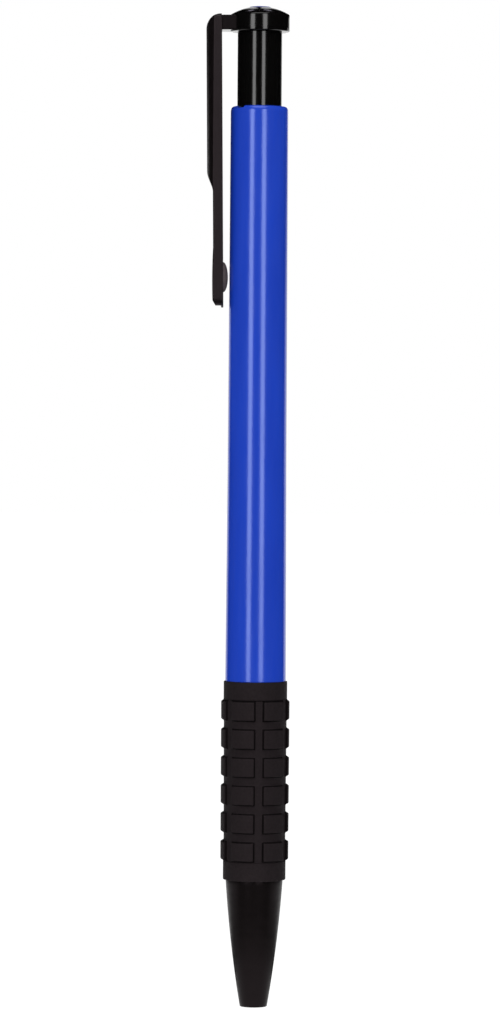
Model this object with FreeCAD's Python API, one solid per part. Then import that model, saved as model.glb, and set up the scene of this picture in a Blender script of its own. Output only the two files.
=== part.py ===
import FreeCAD, Part
import math
import os

# Push-feed clutch pencil for a 2.0 mm lead, stored with the lead drawn in.
# Millimetres. The long axis is Z: the mouth of the nose is at z = 0 and the
# push button is at the top. The clip lies on the -X side.
#
# Pressing the button pushes the magazine tube, its connector and the chuck
# down against the return spring. The clutch ring rides down with the jaws
# until the nose stops it. The jaws then slide out of its taper and open.

Vector = FreeCAD.Vector
AXIS = Vector(0, 0, 1)
ORIGIN = Vector(0, 0, 0)

# Clearances
RUN = 0.06             # radial clearance of pieces that slide in each other
SEAT = 0.02            # radial clearance of pieces pressed or pushed together
FACE = 0.05            # gap between end faces that only meet at a stop
GRIP_GAP = 0.04        # radial clearance of the jaws to the ring and the lead
LEAD_GAP = 0.12        # radial clearance of the lead in plain passages

# Lead
LEAD_R = 1.0
LEAD_LENGTH = 28.0
LEAD_AHEAD = 5.7       # how far the lead's point stands out of the jaws
LEAD_POINT_R = 0.55
LEAD_POINT_H = 0.9
SPARE_LENGTH = 80.0
SPARE_SIDE_GAP = 0.05  # between the two spare leads

# Travel of the button, and the share of it that the clutch ring makes
PRESS_TRAVEL = 4.0
RING_SHARE = 0.3

# Nose cone
NOSE_LENGTH = 17.86
NOSE_TIP_R = 1.9
NOSE_BULGE = 0.235     # how far the flank swells out half way up
NOSE_FLANK_STEPS = 6
NOSE_TOP_R = 4.01
NOSE_EDGE = 0.08
MOUTH_LENGTH = 2.4
RETAINER_R = 1.8
RETAINER_LENGTH = 3.4
RETAINER_LIP = 0.4
RETAINER_RELIEF = 0.3
CHUCK_ROOM = 9.66      # from the shoulder down to the deepest point of the open jaws
CAVITY_R = 2.6
CAVITY_SLOPE_H = 0.7
SPIGOT_LENGTH = 8.14   # screwed end of the nose inside the barrel
SPIGOT_R = 3.15
SPIGOT_GROOVE_R = 2.98
SPIGOT_GROOVE_H = 1.2
SPIGOT_GROOVES = 4
SPIGOT_PLAIN_H = 1.6
THREAD_RIDGE = 0.1

# Chuck: three jaws on a collar
JAW_COUNT = 3
JAW_SLIT = 0.35
JAW_TIP_H = 1.0        # front bevel below the widest point of the head
JAW_TIP_R = 1.75
JAW_HEAD_R = 2.15
JAW_CONE_H = 4.5
JAW_STEM_R = 1.55
JAW_LENGTH = 12.3
JAW_TOOTH_COUNT = 5
JAW_TOOTH_DEPTH = 0.12
JAW_TOOTH_PITCH = 0.7
JAW_TOOTH_START = 0.5
JAW_RELIEF_R = 1.2
COLLAR_BORE_R = 1.1

# Clutch ring
RING_ABOVE_HEAD = 0.8  # from the head's widest point to the ring at rest
RING_HEIGHT = 2.2
RING_R = 2.66
RING_CHAMFER = 0.15

# Chuck sleeve and return spring
SLEEVE_R = 2.7
SLEEVE_LIP_R = 1.95
SLEEVE_LIP_H = 1.75
SLEEVE_BORE_R = 2.32
SLEEVE_FLANGE_R = 3.1
SLEEVE_FLANGE_H = 1.2
SPRING_LENGTH = 9.0
SPRING_MEAN_R = 2.0
SPRING_WIRE_R = 0.15
SPRING_WIRE_SIDES = 6
SPRING_TURNS = 6
SPRING_END_TURNS = 1

# Tube connector and magazine tube
CONNECTOR_SKIRT = 6.0
CONNECTOR_FLANGE_H = 1.5
CONNECTOR_SPIGOT = 5.5
COLLAR_SOCKET = 4.0
FUNNEL_H = 4.0
TUBE_R = 2.5
TUBE_WALL = 0.3
TUBE_LENGTH = 89.5

# Barrel
BARREL_LENGTH = 107.94
BARREL_SHOULDER_R = 4.25
BARREL_WAIST_R = 4.11  # where the quicker taper above the grip ends
BARREL_WAIST_ABOVE_GRIP = 30.0
BARREL_TOP_R = 4.02
BARREL_RIM_ROUND = 0.65
BARREL_FRONT_R = 3.65
BARREL_BORE_R = 3.0
GUIDE_LENGTH = 22.0    # bore that guides the button stem
KEYWAY_DEPTH = 0.36
KEYWAY_WIDTH = 2.0
KEYWAY_ANGLE = 40.5    # from the clip's plane, to each side
RIM_NOTCH_H = 0.95
EDGE = 0.1             # small broken edges

# Rubber grip
GRIP_LENGTH = 27.8
GRIP_TOP_BAND = 2.55
GRIP_BOTTOM_BAND = 2.65
GRIP_TOP_R = 4.45
GRIP_BASE_TOP_R = 4.41
GRIP_BASE_LOW_R = 4.31
GRIP_LOW_R = 4.39
PAD_TOP_R = 4.79
PAD_LOW_R = 4.76
PAD_ROWS = 6
PAD_COLUMNS = 7
PAD_GAP_FLOOR = 0.98   # clear width between pads at the base
PAD_DRAFT = 0.25       # how far the upper and lower sides of a pad lean in
PAD_SIDE_LEAN = 0.32   # the same for its two other sides
PAD_GROOVE_FLOOR = 0.95
PAD_GROOVE_TURN = 6.8  # degrees from the front to the first groove's middle

# Button stem, cap and plug
STEM_R = 3.11
STEM_BELOW_RIM = 17.8
STEM_ABOVE_RIM = 10.6
STEM_STEP = 0.3        # shoulder inside the stem that pushes on the tube
STEM_CROWN_H = 3.4
STEM_SPIGOT_R = 2.3
STEM_SPIGOT_H = 1.6
STEM_MOUTH_CHAMFER = 0.2
RIB_ROOT = 0.3         # how far the rib's root lies outside the socket
RIB_LENGTH = 10.0
RIB_GAP = 0.1
CAP_R = 4.14
CAP_WALL_H = 2.35
CAP_DOME_R = 7.8
CAP_EDGE = 0.15
PLUG_HEAD_R = 1.55
PLUG_HEAD_H = 0.62     # depth of its seat below the top of the dome
PLUG_RISE = 0.06       # how far its crown stands above the dome
PLUG_SHANK_R = 1.2
PLUG_SHANK_LENGTH = 5.2

# Bridge arm and clip
ARM_HEIGHT = 2.06
ARM_LIFT = 0.15        # underside of the arm above the underside of the cap
ARM_HALF_WIDTH = 2.35
ARM_ROOT_HALF_WIDTH = 2.55
ARM_ROOT_X = 2.6
TENON_LENGTH = 0.8
TENON_HEIGHT = 0.9
TENON_WIDTH = 2.4
TENON_GAP = 0.13
SEAM_GAP = 0.08
CLIP_INNER_X = 5.33
CLIP_OUTER_X = 7.51
CLIP_LEAN = 0.65       # degrees that the clip leans towards the barrel
CLIP_ABOVE_ARM = 0.19
CLIP_LENGTH = 40.6
CLIP_CORNER_R = 2.1
CLIP_PANEL_LENGTH = 22.3
CLIP_SHOULDER_H = 2.05
CLIP_SHOULDER_ROUND = 0.5
CLIP_TONGUE_X = 6.71
CLIP_SWELL_X = 6.86
CLIP_FOOT_X = 6.84
CLIP_TOP_HALF_WIDTH = 2.5
CLIP_FOOT_HALF_WIDTH = 1.95
CLIP_FOOT_ROUND = 1.3
CLIP_TOP_ROUND = 0.7
CLIP_DOME_R = 3.33
CLIP_FOOT_CUT_W = 0.4
CLIP_FOOT_CUT_H = 0.7
CLIP_LIP_H = 0.3
CLIP_LIP_T = 0.32
BALL_HALF_LENGTH = 2.1
BALL_RISE = 0.66
BALL_AXIS_DEPTH = 1.04 # from the inner face to the line that the ball is turned about
BALL_ROOT = 0.3        # how deep the ball is rooted in the clip
BALL_ABOVE_FOOT = 3.95

# Places along the axis that follow from the sizes above
nose_end_z = NOSE_LENGTH + SPIGOT_LENGTH
barrel_top_z = NOSE_LENGTH + BARREL_LENGTH
cavity_floor_z = NOSE_LENGTH - CHUCK_ROOM
retainer_z = MOUTH_LENGTH
retainer_top_z = retainer_z + RETAINER_LENGTH
head_z = cavity_floor_z + PRESS_TRAVEL + JAW_TIP_H
jaw_tip_z = head_z - JAW_TIP_H
jaw_root_z = jaw_tip_z + JAW_LENGTH
ring_z = head_z + RING_ABOVE_HEAD
ring_top_z = ring_z + RING_HEIGHT
ring_stop_z = ring_z - RING_SHARE * PRESS_TRAVEL - FACE
sleeve_z = ring_top_z + FACE
spring_seat_z = sleeve_z + SLEEVE_LIP_H
spring_top_z = spring_seat_z + SPRING_LENGTH
connector_flange_z = spring_top_z + CONNECTOR_SKIRT
tube_z = connector_flange_z + CONNECTOR_FLANGE_H
tube_top_z = tube_z + TUBE_LENGTH
connector_top_z = tube_z + CONNECTOR_SPIGOT
sleeve_top_z = connector_flange_z - PRESS_TRAVEL - FACE
collar_z = jaw_root_z + FACE
lead_z = jaw_tip_z - LEAD_AHEAD
grip_top_z = NOSE_LENGTH + GRIP_LENGTH
stem_bottom_z = barrel_top_z - STEM_BELOW_RIM
cap_z = barrel_top_z + STEM_ABOVE_RIM
cap_apex_z = cap_z + CAP_WALL_H + CAP_DOME_R - math.sqrt(CAP_DOME_R**2 - CAP_R**2)
plug_seat_z = cap_apex_z - PLUG_HEAD_H
arm_z = cap_z + ARM_LIFT
clip_top_z = arm_z + ARM_HEIGHT + CLIP_ABOVE_ARM
clip_foot_z = clip_top_z - CLIP_LENGTH

# Radii that follow from a piece and its fit
bore_nose_r = SLEEVE_R + SEAT
bore_front_r = SPIGOT_R + RUN
bore_guide_r = STEM_R + RUN
tube_bore_r = TUBE_R - TUBE_WALL
spigot_r = tube_bore_r - RUN / 2
skirt_r = SLEEVE_BORE_R - RUN
flange_r = BARREL_BORE_R - RUN
lead_bore_r = LEAD_R + LEAD_GAP
jaw_grip_r = LEAD_R + GRIP_GAP
jaw_slope = (JAW_HEAD_R - JAW_STEM_R) / JAW_CONE_H


def point(r, z):
    """A point of a half section, at radius r and height z."""
    return Vector(r, 0, z)


def through(start, middle, end):
    """An arc of a half section through three points."""
    return Part.Arc(start, middle, end).toShape()


def line(start, end):
    """A straight edge."""
    return Part.makeLine(start, end)


def flank(start, pull, end):
    """A gently curved flank between two points, bent towards a third."""
    curve = Part.BezierCurve()
    curve.setPoles([start, pull, end])
    return curve.toShape()


def polygon(*corners):
    """A flat face with straight sides, from corner points in order."""
    return Part.Face(Part.makePolygon(list(corners) + [corners[0]]))


def turned(*pairs):
    """A solid of revolution from (radius, height) corners of its half section."""
    return polygon(*[point(r, z) for r, z in pairs]).revolve(ORIGIN, AXIS, 360)


def rod(radius, low, high):
    """A plain cylinder on the long axis."""
    return Part.makeCylinder(radius, high - low, Vector(0, 0, low), AXIS)


def tube(outer, inner, low, high):
    """A plain tube on the long axis."""
    return rod(outer, low, high).cut(rod(inner, low, high))


def block(x0, x1, y0, y1, z0, z1):
    """A box between two opposite corners."""
    return Part.makeBox(x1 - x0, y1 - y0, z1 - z0, Vector(x0, y0, z0))


def spun(shape, degrees):
    """A copy turned about the long axis."""
    copy = shape.copy()
    copy.rotate(ORIGIN, AXIS, degrees)
    return copy


def jaw_radius(z):
    """Outside radius of a closed jaw on its cone at height z."""
    return JAW_HEAD_R - (z - head_z) * jaw_slope


def make_nose_cone():
    """Convex cone with the mouth, the retainer's pocket, the chuck's room and a screwed end."""
    skin = [(NOSE_TIP_R - NOSE_EDGE, 0)]
    for step in range(NOSE_FLANK_STEPS + 1):
        share = step / NOSE_FLANK_STEPS
        z = NOSE_EDGE + share * (NOSE_LENGTH - NOSE_EDGE)
        straight = NOSE_TIP_R + share * (NOSE_TOP_R - NOSE_TIP_R)
        skin.append((straight + 4 * NOSE_BULGE * share * (1 - share), z))
    body = turned((0, 0), *skin, (SPIGOT_R, NOSE_LENGTH), (SPIGOT_R, nose_end_z), (0, nose_end_z))
    for step in range(SPIGOT_GROOVES):
        z = NOSE_LENGTH + SPIGOT_PLAIN_H + step * SPIGOT_GROOVE_H
        groove = turned((SPIGOT_R + THREAD_RIDGE, z), (SPIGOT_GROOVE_R, z + SPIGOT_GROOVE_H / 2),
                        (SPIGOT_R + THREAD_RIDGE, z + SPIGOT_GROOVE_H))
        body = body.cut(groove)
    pocket_r = RETAINER_R + SEAT
    inside = turned(
        (0, 0),
        (lead_bore_r, 0),
        (lead_bore_r, MOUTH_LENGTH),
        (pocket_r, MOUTH_LENGTH),
        (pocket_r, cavity_floor_z - CAVITY_SLOPE_H),
        (CAVITY_R, cavity_floor_z),
        (CAVITY_R, ring_stop_z),
        (bore_nose_r, ring_stop_z),
        (bore_nose_r, nose_end_z),
        (0, nose_end_z),
    )
    return body.cut(inside)


def make_barrel():
    """Tapered tube with a rounded rim, a stepped bore and two keyways for the button."""
    rim_r = BARREL_TOP_R - BARREL_RIM_ROUND
    side_top = point(BARREL_TOP_R, barrel_top_z - BARREL_RIM_ROUND)
    corner = BARREL_RIM_ROUND * math.cos(math.radians(45))
    rim_mid = point(rim_r + corner, barrel_top_z - BARREL_RIM_ROUND + corner)
    rim = point(rim_r, barrel_top_z)
    foot = point(BARREL_FRONT_R, NOSE_LENGTH)
    step = point(BARREL_FRONT_R, grip_top_z)
    ledge = point(BARREL_SHOULDER_R - EDGE, grip_top_z)
    shoulder = point(BARREL_SHOULDER_R, grip_top_z + EDGE)
    waist = point(BARREL_WAIST_R, grip_top_z + BARREL_WAIST_ABOVE_GRIP)
    edges = [
        line(point(0, NOSE_LENGTH), foot),
        line(foot, step),
        line(step, ledge),
        line(ledge, shoulder),
        line(shoulder, waist),
        line(waist, side_top),
        through(side_top, rim_mid, rim),
        line(rim, point(0, barrel_top_z)),
        line(point(0, barrel_top_z), point(0, NOSE_LENGTH)),
    ]
    body = Part.Face(Part.Wire(edges)).revolve(ORIGIN, AXIS, 360)
    shoulder_z = nose_end_z + SLEEVE_FLANGE_H + FACE
    guide_z = barrel_top_z - GUIDE_LENGTH
    body = body.cut(turned(
        (0, NOSE_LENGTH),
        (bore_front_r, NOSE_LENGTH),
        (bore_front_r, shoulder_z),
        (BARREL_BORE_R, shoulder_z),
        (BARREL_BORE_R, guide_z),
        (bore_guide_r, guide_z),
        (bore_guide_r, barrel_top_z),
        (0, barrel_top_z),
    ))
    keyway_r = bore_guide_r + KEYWAY_DEPTH
    keyway = block(-keyway_r, 0, -KEYWAY_WIDTH / 2, KEYWAY_WIDTH / 2, guide_z, barrel_top_z)
    notch = block(-2 * BARREL_TOP_R, 0, -KEYWAY_WIDTH / 2, KEYWAY_WIDTH / 2,
                  barrel_top_z - RIM_NOTCH_H, barrel_top_z)
    for side in (-1, 1):
        body = body.cut(spun(keyway.fuse(notch), side * KEYWAY_ANGLE))
    return body


def make_grip_sleeve():
    """Rubber sleeve: plain end bands, and rows of raised pads with drafted sides between."""
    field_low = NOSE_LENGTH + GRIP_BOTTOM_BAND
    field_top = grip_top_z - GRIP_TOP_BAND
    sleeve = turned(
        (0, NOSE_LENGTH),
        (GRIP_LOW_R - EDGE, NOSE_LENGTH),
        (GRIP_LOW_R, NOSE_LENGTH + EDGE),
        (GRIP_LOW_R, field_low),
        (GRIP_BASE_LOW_R, field_low),
        (GRIP_BASE_TOP_R, field_top),
        (GRIP_TOP_R, field_top),
        (GRIP_TOP_R, grip_top_z - 2 * EDGE),
        (GRIP_TOP_R - 2 * EDGE, grip_top_z),
        (0, grip_top_z),
    )
    field = field_top - field_low
    pitch = (field + PAD_GAP_FLOOR) / PAD_ROWS
    pad_height = pitch - PAD_GAP_FLOOR
    ribs = []
    for row in range(PAD_ROWS):
        low = field_low + row * pitch
        share = (row + 0.5) / PAD_ROWS
        crest = PAD_LOW_R + (PAD_TOP_R - PAD_LOW_R) * share
        ribs.append(turned(
            (BARREL_FRONT_R + SEAT, low),
            (GRIP_BASE_LOW_R, low),
            (crest, low + PAD_DRAFT),
            (crest, low + pad_height - PAD_DRAFT),
            (GRIP_BASE_LOW_R, low + pad_height),
            (BARREL_FRONT_R + SEAT, low + pad_height),
        ))
    pads = ribs[0].fuse(ribs[1:])
    floor_half = PAD_GROOVE_FLOOR / 2
    open_half = floor_half + PAD_SIDE_LEAN
    groove_face = polygon(
        Vector(-floor_half, -BARREL_FRONT_R, field_low),
        Vector(floor_half, -BARREL_FRONT_R, field_low),
        Vector(floor_half, -GRIP_BASE_LOW_R, field_low),
        Vector(open_half, -PAD_TOP_R, field_low),
        Vector(open_half, -PAD_TOP_R - PAD_DRAFT, field_low),
        Vector(-open_half, -PAD_TOP_R - PAD_DRAFT, field_low),
        Vector(-open_half, -PAD_TOP_R, field_low),
        Vector(-floor_half, -GRIP_BASE_LOW_R, field_low),
    )
    groove = groove_face.extrude(Vector(0, 0, field))
    for column in range(PAD_COLUMNS):
        pads = pads.cut(spun(groove, PAD_GROOVE_TURN + column * 360 / PAD_COLUMNS))
    whole = sleeve.fuse(pads).removeSplitter()
    return whole.cut(rod(BARREL_FRONT_R + SEAT, NOSE_LENGTH, grip_top_z))


def make_lead_retainer():
    """Rubber ring in the nose, with a lip at each end that brakes the lead."""
    lip_r = LEAD_R + RUN / 2
    low, top = retainer_z, retainer_top_z
    return turned(
        (lip_r, low),
        (RETAINER_R, low),
        (RETAINER_R, top),
        (lip_r, top),
        (lip_r, top - RETAINER_LIP),
        (lip_r + RETAINER_RELIEF, top - 2 * RETAINER_LIP),
        (lip_r + RETAINER_RELIEF, low + 2 * RETAINER_LIP),
        (lip_r, low + RETAINER_LIP),
    )


def make_chuck_sleeve():
    """Fixed sleeve: its foot stops the clutch ring, its lip seats the spring."""
    flange_z = nose_end_z
    return turned(
        (SLEEVE_LIP_R, sleeve_z),
        (SLEEVE_R, sleeve_z),
        (SLEEVE_R, flange_z),
        (SLEEVE_FLANGE_R, flange_z),
        (SLEEVE_FLANGE_R, flange_z + SLEEVE_FLANGE_H),
        (SLEEVE_R, flange_z + SLEEVE_FLANGE_H),
        (SLEEVE_R, sleeve_top_z),
        (SLEEVE_BORE_R, sleeve_top_z),
        (SLEEVE_BORE_R, spring_seat_z),
        (SLEEVE_LIP_R, spring_seat_z),
    )


def make_clutch_ring():
    """Tapered ring that squeezes the jaws."""
    low_r = jaw_radius(ring_z) + GRIP_GAP
    top_r = jaw_radius(ring_top_z) + GRIP_GAP
    return turned(
        (low_r, ring_z),
        (RING_R - RING_CHAMFER, ring_z),
        (RING_R, ring_z + RING_CHAMFER),
        (RING_R, ring_top_z - RING_CHAMFER),
        (RING_R - RING_CHAMFER, ring_top_z),
        (top_r, ring_top_z),
    )


def make_chuck_jaw(index):
    """One finger of the chuck: a third of the head and stem, with teeth on the lead."""
    cone_top_z = head_z + JAW_CONE_H
    grip_top = cone_top_z
    teeth = []
    for tooth in range(JAW_TOOTH_COUNT):
        z = jaw_tip_z + JAW_TOOTH_START + tooth * JAW_TOOTH_PITCH
        teeth.append((jaw_grip_r, z))
        teeth.append((jaw_grip_r + JAW_TOOTH_DEPTH, z + JAW_TOOTH_PITCH / 2))
    whole = turned(
        (jaw_grip_r, jaw_tip_z),
        (JAW_TIP_R, jaw_tip_z),
        (JAW_HEAD_R, head_z),
        (JAW_STEM_R, cone_top_z),
        (JAW_STEM_R, jaw_root_z),
        (JAW_RELIEF_R, jaw_root_z),
        (JAW_RELIEF_R, grip_top + EDGE),
        (jaw_grip_r, grip_top),
        *reversed(teeth),
    )
    sector = 360 / JAW_COUNT
    reach = 2 * JAW_HEAD_R
    height = jaw_root_z - jaw_tip_z
    half_slit = block(0, reach, -JAW_SLIT / 2, JAW_SLIT / 2, jaw_tip_z, jaw_root_z)
    wedge = Part.makeCylinder(reach, height, Vector(0, 0, jaw_tip_z), AXIS, sector)
    jaw = whole.common(wedge).cut(half_slit).cut(spun(half_slit, sector))
    return spun(jaw, index * sector)


def make_chuck_collar():
    """Solid end of the chuck, held in the connector."""
    return tube(JAW_STEM_R, COLLAR_BORE_R, collar_z, spring_top_z + COLLAR_SOCKET - SEAT)


def half_coil(side, low, rise):
    """Half a turn of wire as one tilted arc, from side * X to the other side."""
    start = Vector(side * SPRING_MEAN_R, 0, low)
    corners = []
    for corner in range(SPRING_WIRE_SIDES):
        angle = 2 * math.pi * corner / SPRING_WIRE_SIDES
        corners.append(start + Vector(math.cos(angle), 0, math.sin(angle)) * SPRING_WIRE_R)
    section = polygon(*corners)
    tilted_axis = Vector(side * rise / 2, 0, SPRING_MEAN_R)
    return section.revolve(Vector(0, 0, low + rise / 2), tilted_axis, 180)


def make_return_spring():
    """Compression spring with one closed turn at each end, in half turns that join smoothly."""
    closed_rise = SPRING_WIRE_R + SEAT
    height = SPRING_LENGTH - 2 * SPRING_WIRE_R
    open_rise = (height - 4 * SPRING_END_TURNS * closed_rise) / (2 * SPRING_TURNS)
    closed_end = [closed_rise] * (2 * SPRING_END_TURNS)
    rises = closed_end + [open_rise] * (2 * SPRING_TURNS) + closed_end
    z = spring_seat_z + SPRING_WIRE_R
    halves = []
    for index, rise in enumerate(rises):
        side = 1 if index % 2 == 0 else -1
        halves.append(half_coil(side, z, rise))
        z += rise
    return halves[0].fuse(halves[1:])


def make_tube_connector():
    """Skirt that slides in the sleeve, a stop flange, a spigot for the tube and a lead funnel."""
    socket_r = JAW_STEM_R + SEAT
    socket_top_z = spring_top_z + COLLAR_SOCKET
    funnel_r = spigot_r - RUN * 2
    return turned(
        (socket_r, spring_top_z),
        (skirt_r, spring_top_z),
        (skirt_r, connector_flange_z),
        (flange_r, connector_flange_z),
        (flange_r, tube_z),
        (spigot_r, tube_z),
        (spigot_r, connector_top_z),
        (funnel_r, connector_top_z),
        (lead_bore_r, connector_top_z - FUNNEL_H),
        (lead_bore_r, socket_top_z),
        (socket_r, socket_top_z),
    )


def make_lead_tube():
    """Magazine tube between the connector and the button."""
    return tube(TUBE_R, tube_bore_r, tube_z, tube_top_z)


def make_lead():
    """Lead in use, held by the jaws, with its blunt worn point drawn into the nose."""
    return turned(
        (0, lead_z),
        (LEAD_POINT_R, lead_z),
        (LEAD_R, lead_z + LEAD_POINT_H),
        (LEAD_R, lead_z + LEAD_LENGTH),
        (0, lead_z + LEAD_LENGTH),
    )


def make_spare_lead(side):
    """Spare lead that stands on the connector, beside the other one."""
    x = side * (LEAD_R + SPARE_SIDE_GAP / 2)
    return Part.makeCylinder(LEAD_R, SPARE_LENGTH, Vector(x, 0, connector_top_z + SEAT), AXIS)


def make_button_stem():
    """Tube of the push button: socket for the magazine tube, crown for the cap, two ribs."""
    socket_r = TUBE_R + SEAT
    hollow_r = socket_r - STEM_STEP
    crown_z = cap_z - STEM_CROWN_H
    step_z = tube_top_z + SEAT
    shank_r = PLUG_SHANK_R + SEAT
    spigot_top_z = cap_z + STEM_SPIGOT_H
    stem = turned(
        (socket_r + STEM_MOUTH_CHAMFER, stem_bottom_z),
        (STEM_R - EDGE, stem_bottom_z),
        (STEM_R, stem_bottom_z + EDGE),
        (STEM_R, cap_z),
        (STEM_SPIGOT_R, cap_z),
        (STEM_SPIGOT_R, spigot_top_z),
        (shank_r, spigot_top_z),
        (shank_r, crown_z),
        (hollow_r, crown_z),
        (hollow_r, step_z),
        (socket_r, step_z),
        (socket_r, stem_bottom_z + STEM_MOUTH_CHAMFER),
    )
    rib_r = bore_guide_r + KEYWAY_DEPTH - RIB_GAP
    half = KEYWAY_WIDTH / 2 - RIB_GAP
    root_r = socket_r + RIB_ROOT
    rib = block(-rib_r, -root_r, -half, half, stem_bottom_z, stem_bottom_z + RIB_LENGTH)
    for side in (-1, 1):
        stem = stem.fuse(spun(rib, side * KEYWAY_ANGLE))
    return stem.removeSplitter()


def on_dome(r, rise=0.0):
    """A point of a half section on the cap's dome, or above it by a rise."""
    return point(r, cap_apex_z + rise - CAP_DOME_R + math.sqrt(CAP_DOME_R**2 - r**2))


def make_button_cap():
    """Domed cap with a socket for the stem, the plug's seat, and the bridge arm with a tenon."""
    wall_top = point(CAP_R, cap_z + CAP_WALL_H)
    apex = point(0, cap_apex_z)
    edges = [
        line(point(0, cap_z), point(CAP_R - CAP_EDGE, cap_z)),
        line(point(CAP_R - CAP_EDGE, cap_z), point(CAP_R, cap_z + CAP_EDGE)),
        line(point(CAP_R, cap_z + CAP_EDGE), wall_top),
        through(wall_top, on_dome(CAP_R / 2), apex),
        line(apex, point(0, cap_z)),
    ]
    cap = Part.Face(Part.Wire(edges)).revolve(ORIGIN, AXIS, 360)
    arm_end = -(CLIP_INNER_X - SEAM_GAP)
    arm_top_z = arm_z + ARM_HEIGHT
    outline = polygon(
        Vector(arm_end, -ARM_HALF_WIDTH, arm_z),
        Vector(-ARM_ROOT_X, -ARM_ROOT_HALF_WIDTH, arm_z),
        Vector(-ARM_ROOT_X, ARM_ROOT_HALF_WIDTH, arm_z),
        Vector(arm_end, ARM_HALF_WIDTH, arm_z),
    )
    arm = outline.extrude(Vector(0, 0, ARM_HEIGHT))
    tenon_z = (arm_z + arm_top_z) / 2
    tenon = block(arm_end - TENON_LENGTH, arm_end, -TENON_WIDTH / 2, TENON_WIDTH / 2,
                  tenon_z - TENON_HEIGHT / 2, tenon_z + TENON_HEIGHT / 2)
    cap = cap.fuse(arm).fuse(tenon).removeSplitter()
    socket = rod(STEM_SPIGOT_R + SEAT, cap_z, cap_z + STEM_SPIGOT_H + SEAT)
    seat = rod(PLUG_HEAD_R + SEAT, plug_seat_z, cap_apex_z)
    shank = rod(PLUG_SHANK_R + SEAT, cap_z, plug_seat_z)
    return cap.cut(socket).cut(shank).cut(seat)


def make_top_plug():
    """Plug through the cap into the stem, with a crown that carries on the cap's dome."""
    low_z = plug_seat_z - PLUG_SHANK_LENGTH
    crown_edge = on_dome(PLUG_HEAD_R - EDGE, PLUG_RISE)
    crown = on_dome(0, PLUG_RISE)
    corners = [
        point(0, low_z),
        point(PLUG_SHANK_R - EDGE, low_z),
        point(PLUG_SHANK_R, low_z + EDGE),
        point(PLUG_SHANK_R, plug_seat_z),
        point(PLUG_HEAD_R, plug_seat_z),
        point(PLUG_HEAD_R, crown_edge.z - EDGE),
        crown_edge,
    ]
    edges = [line(a, b) for a, b in zip(corners, corners[1:])]
    edges.append(through(crown_edge, on_dome(PLUG_HEAD_R / 2, PLUG_RISE), crown))
    edges.append(line(crown, corners[0]))
    return Part.Face(Part.Wire(edges)).revolve(ORIGIN, AXIS, 360)


def clip_side_profile():
    """Side outline of the clip: round top corner, shoulder, tongue, swell and cut foot."""
    top, foot = clip_top_z, clip_foot_z
    outer, tongue = -CLIP_OUTER_X, -CLIP_TONGUE_X
    corner_x = outer + CLIP_CORNER_R
    corner_z = top - CLIP_CORNER_R
    reach = CLIP_CORNER_R * math.cos(math.radians(45))
    shoulder_top = top - CLIP_PANEL_LENGTH
    shoulder_low = shoulder_top - CLIP_SHOULDER_H
    soft = CLIP_SHOULDER_ROUND
    slope = (outer - tongue) / CLIP_SHOULDER_H
    shoulder_a = Vector(outer, 0, shoulder_top + soft)
    shoulder_b = Vector(outer - soft * slope, 0, shoulder_top - soft)
    shoulder_c = Vector(tongue + soft * slope, 0, shoulder_low + soft)
    shoulder_d = Vector(tongue, 0, shoulder_low - soft)
    bulge_top = Vector(tongue, 0, foot + BALL_ABOVE_FOOT + 2 * BALL_HALF_LENGTH)
    bulge = Vector(-CLIP_SWELL_X, 0, foot + BALL_ABOVE_FOOT)
    cut_top = Vector(-CLIP_FOOT_X, 0, foot + CLIP_FOOT_CUT_H)
    cut_low = Vector(CLIP_FOOT_CUT_W - CLIP_FOOT_X, 0, foot)
    inner = -CLIP_INNER_X
    lip_x = inner - CLIP_LIP_T
    lip_top = Vector(lip_x, 0, foot)
    lip_out = Vector(lip_x, 0, foot - CLIP_LIP_H)
    lip_in = Vector(inner, 0, foot - CLIP_LIP_H)
    inner_top = Vector(inner, 0, top)
    edges = [
        line(inner_top, Vector(corner_x, 0, top)),
        through(Vector(corner_x, 0, top), Vector(corner_x - reach, 0, corner_z + reach),
                Vector(outer, 0, corner_z)),
        line(Vector(outer, 0, corner_z), shoulder_a),
        flank(shoulder_a, Vector(outer, 0, shoulder_top), shoulder_b),
        line(shoulder_b, shoulder_c),
        flank(shoulder_c, Vector(tongue, 0, shoulder_low), shoulder_d),
        line(shoulder_d, bulge_top),
        through(bulge_top, bulge, cut_top),
        line(cut_top, cut_low),
        line(cut_low, lip_top),
        line(lip_top, lip_out),
        line(lip_out, lip_in),
        line(lip_in, inner_top),
    ]
    return Part.Face(Part.Wire(edges))


def edges_along_x(shape):
    """The straight edges of a shape that run along X."""
    return [edge for edge in shape.Edges if edge.BoundBox.YLength + edge.BoundBox.ZLength < EDGE]


def clip_front_outline():
    """Front outline of the clip as a plate: rounded top corners, narrowing to a round foot."""
    top = clip_top_z
    foot = clip_foot_z - CLIP_LIP_H
    wide, narrow = CLIP_TOP_HALF_WIDTH, CLIP_FOOT_HALF_WIDTH
    depth = 2 * CLIP_OUTER_X
    face = polygon(
        Vector(-depth, -narrow, foot),
        Vector(-depth, narrow, foot),
        Vector(-depth, wide, top),
        Vector(-depth, -wide, top),
    )
    plate = face.extrude(Vector(2 * depth, 0, 0))
    middle_z = (foot + top) / 2
    foot_edges = [edge for edge in edges_along_x(plate) if edge.CenterOfMass.z < middle_z]
    plate = plate.makeFillet(CLIP_FOOT_ROUND, foot_edges)
    top_edges = [edge for edge in edges_along_x(plate) if edge.CenterOfMass.z > top - EDGE]
    return plate.makeFillet(CLIP_TOP_ROUND, top_edges)


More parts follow.
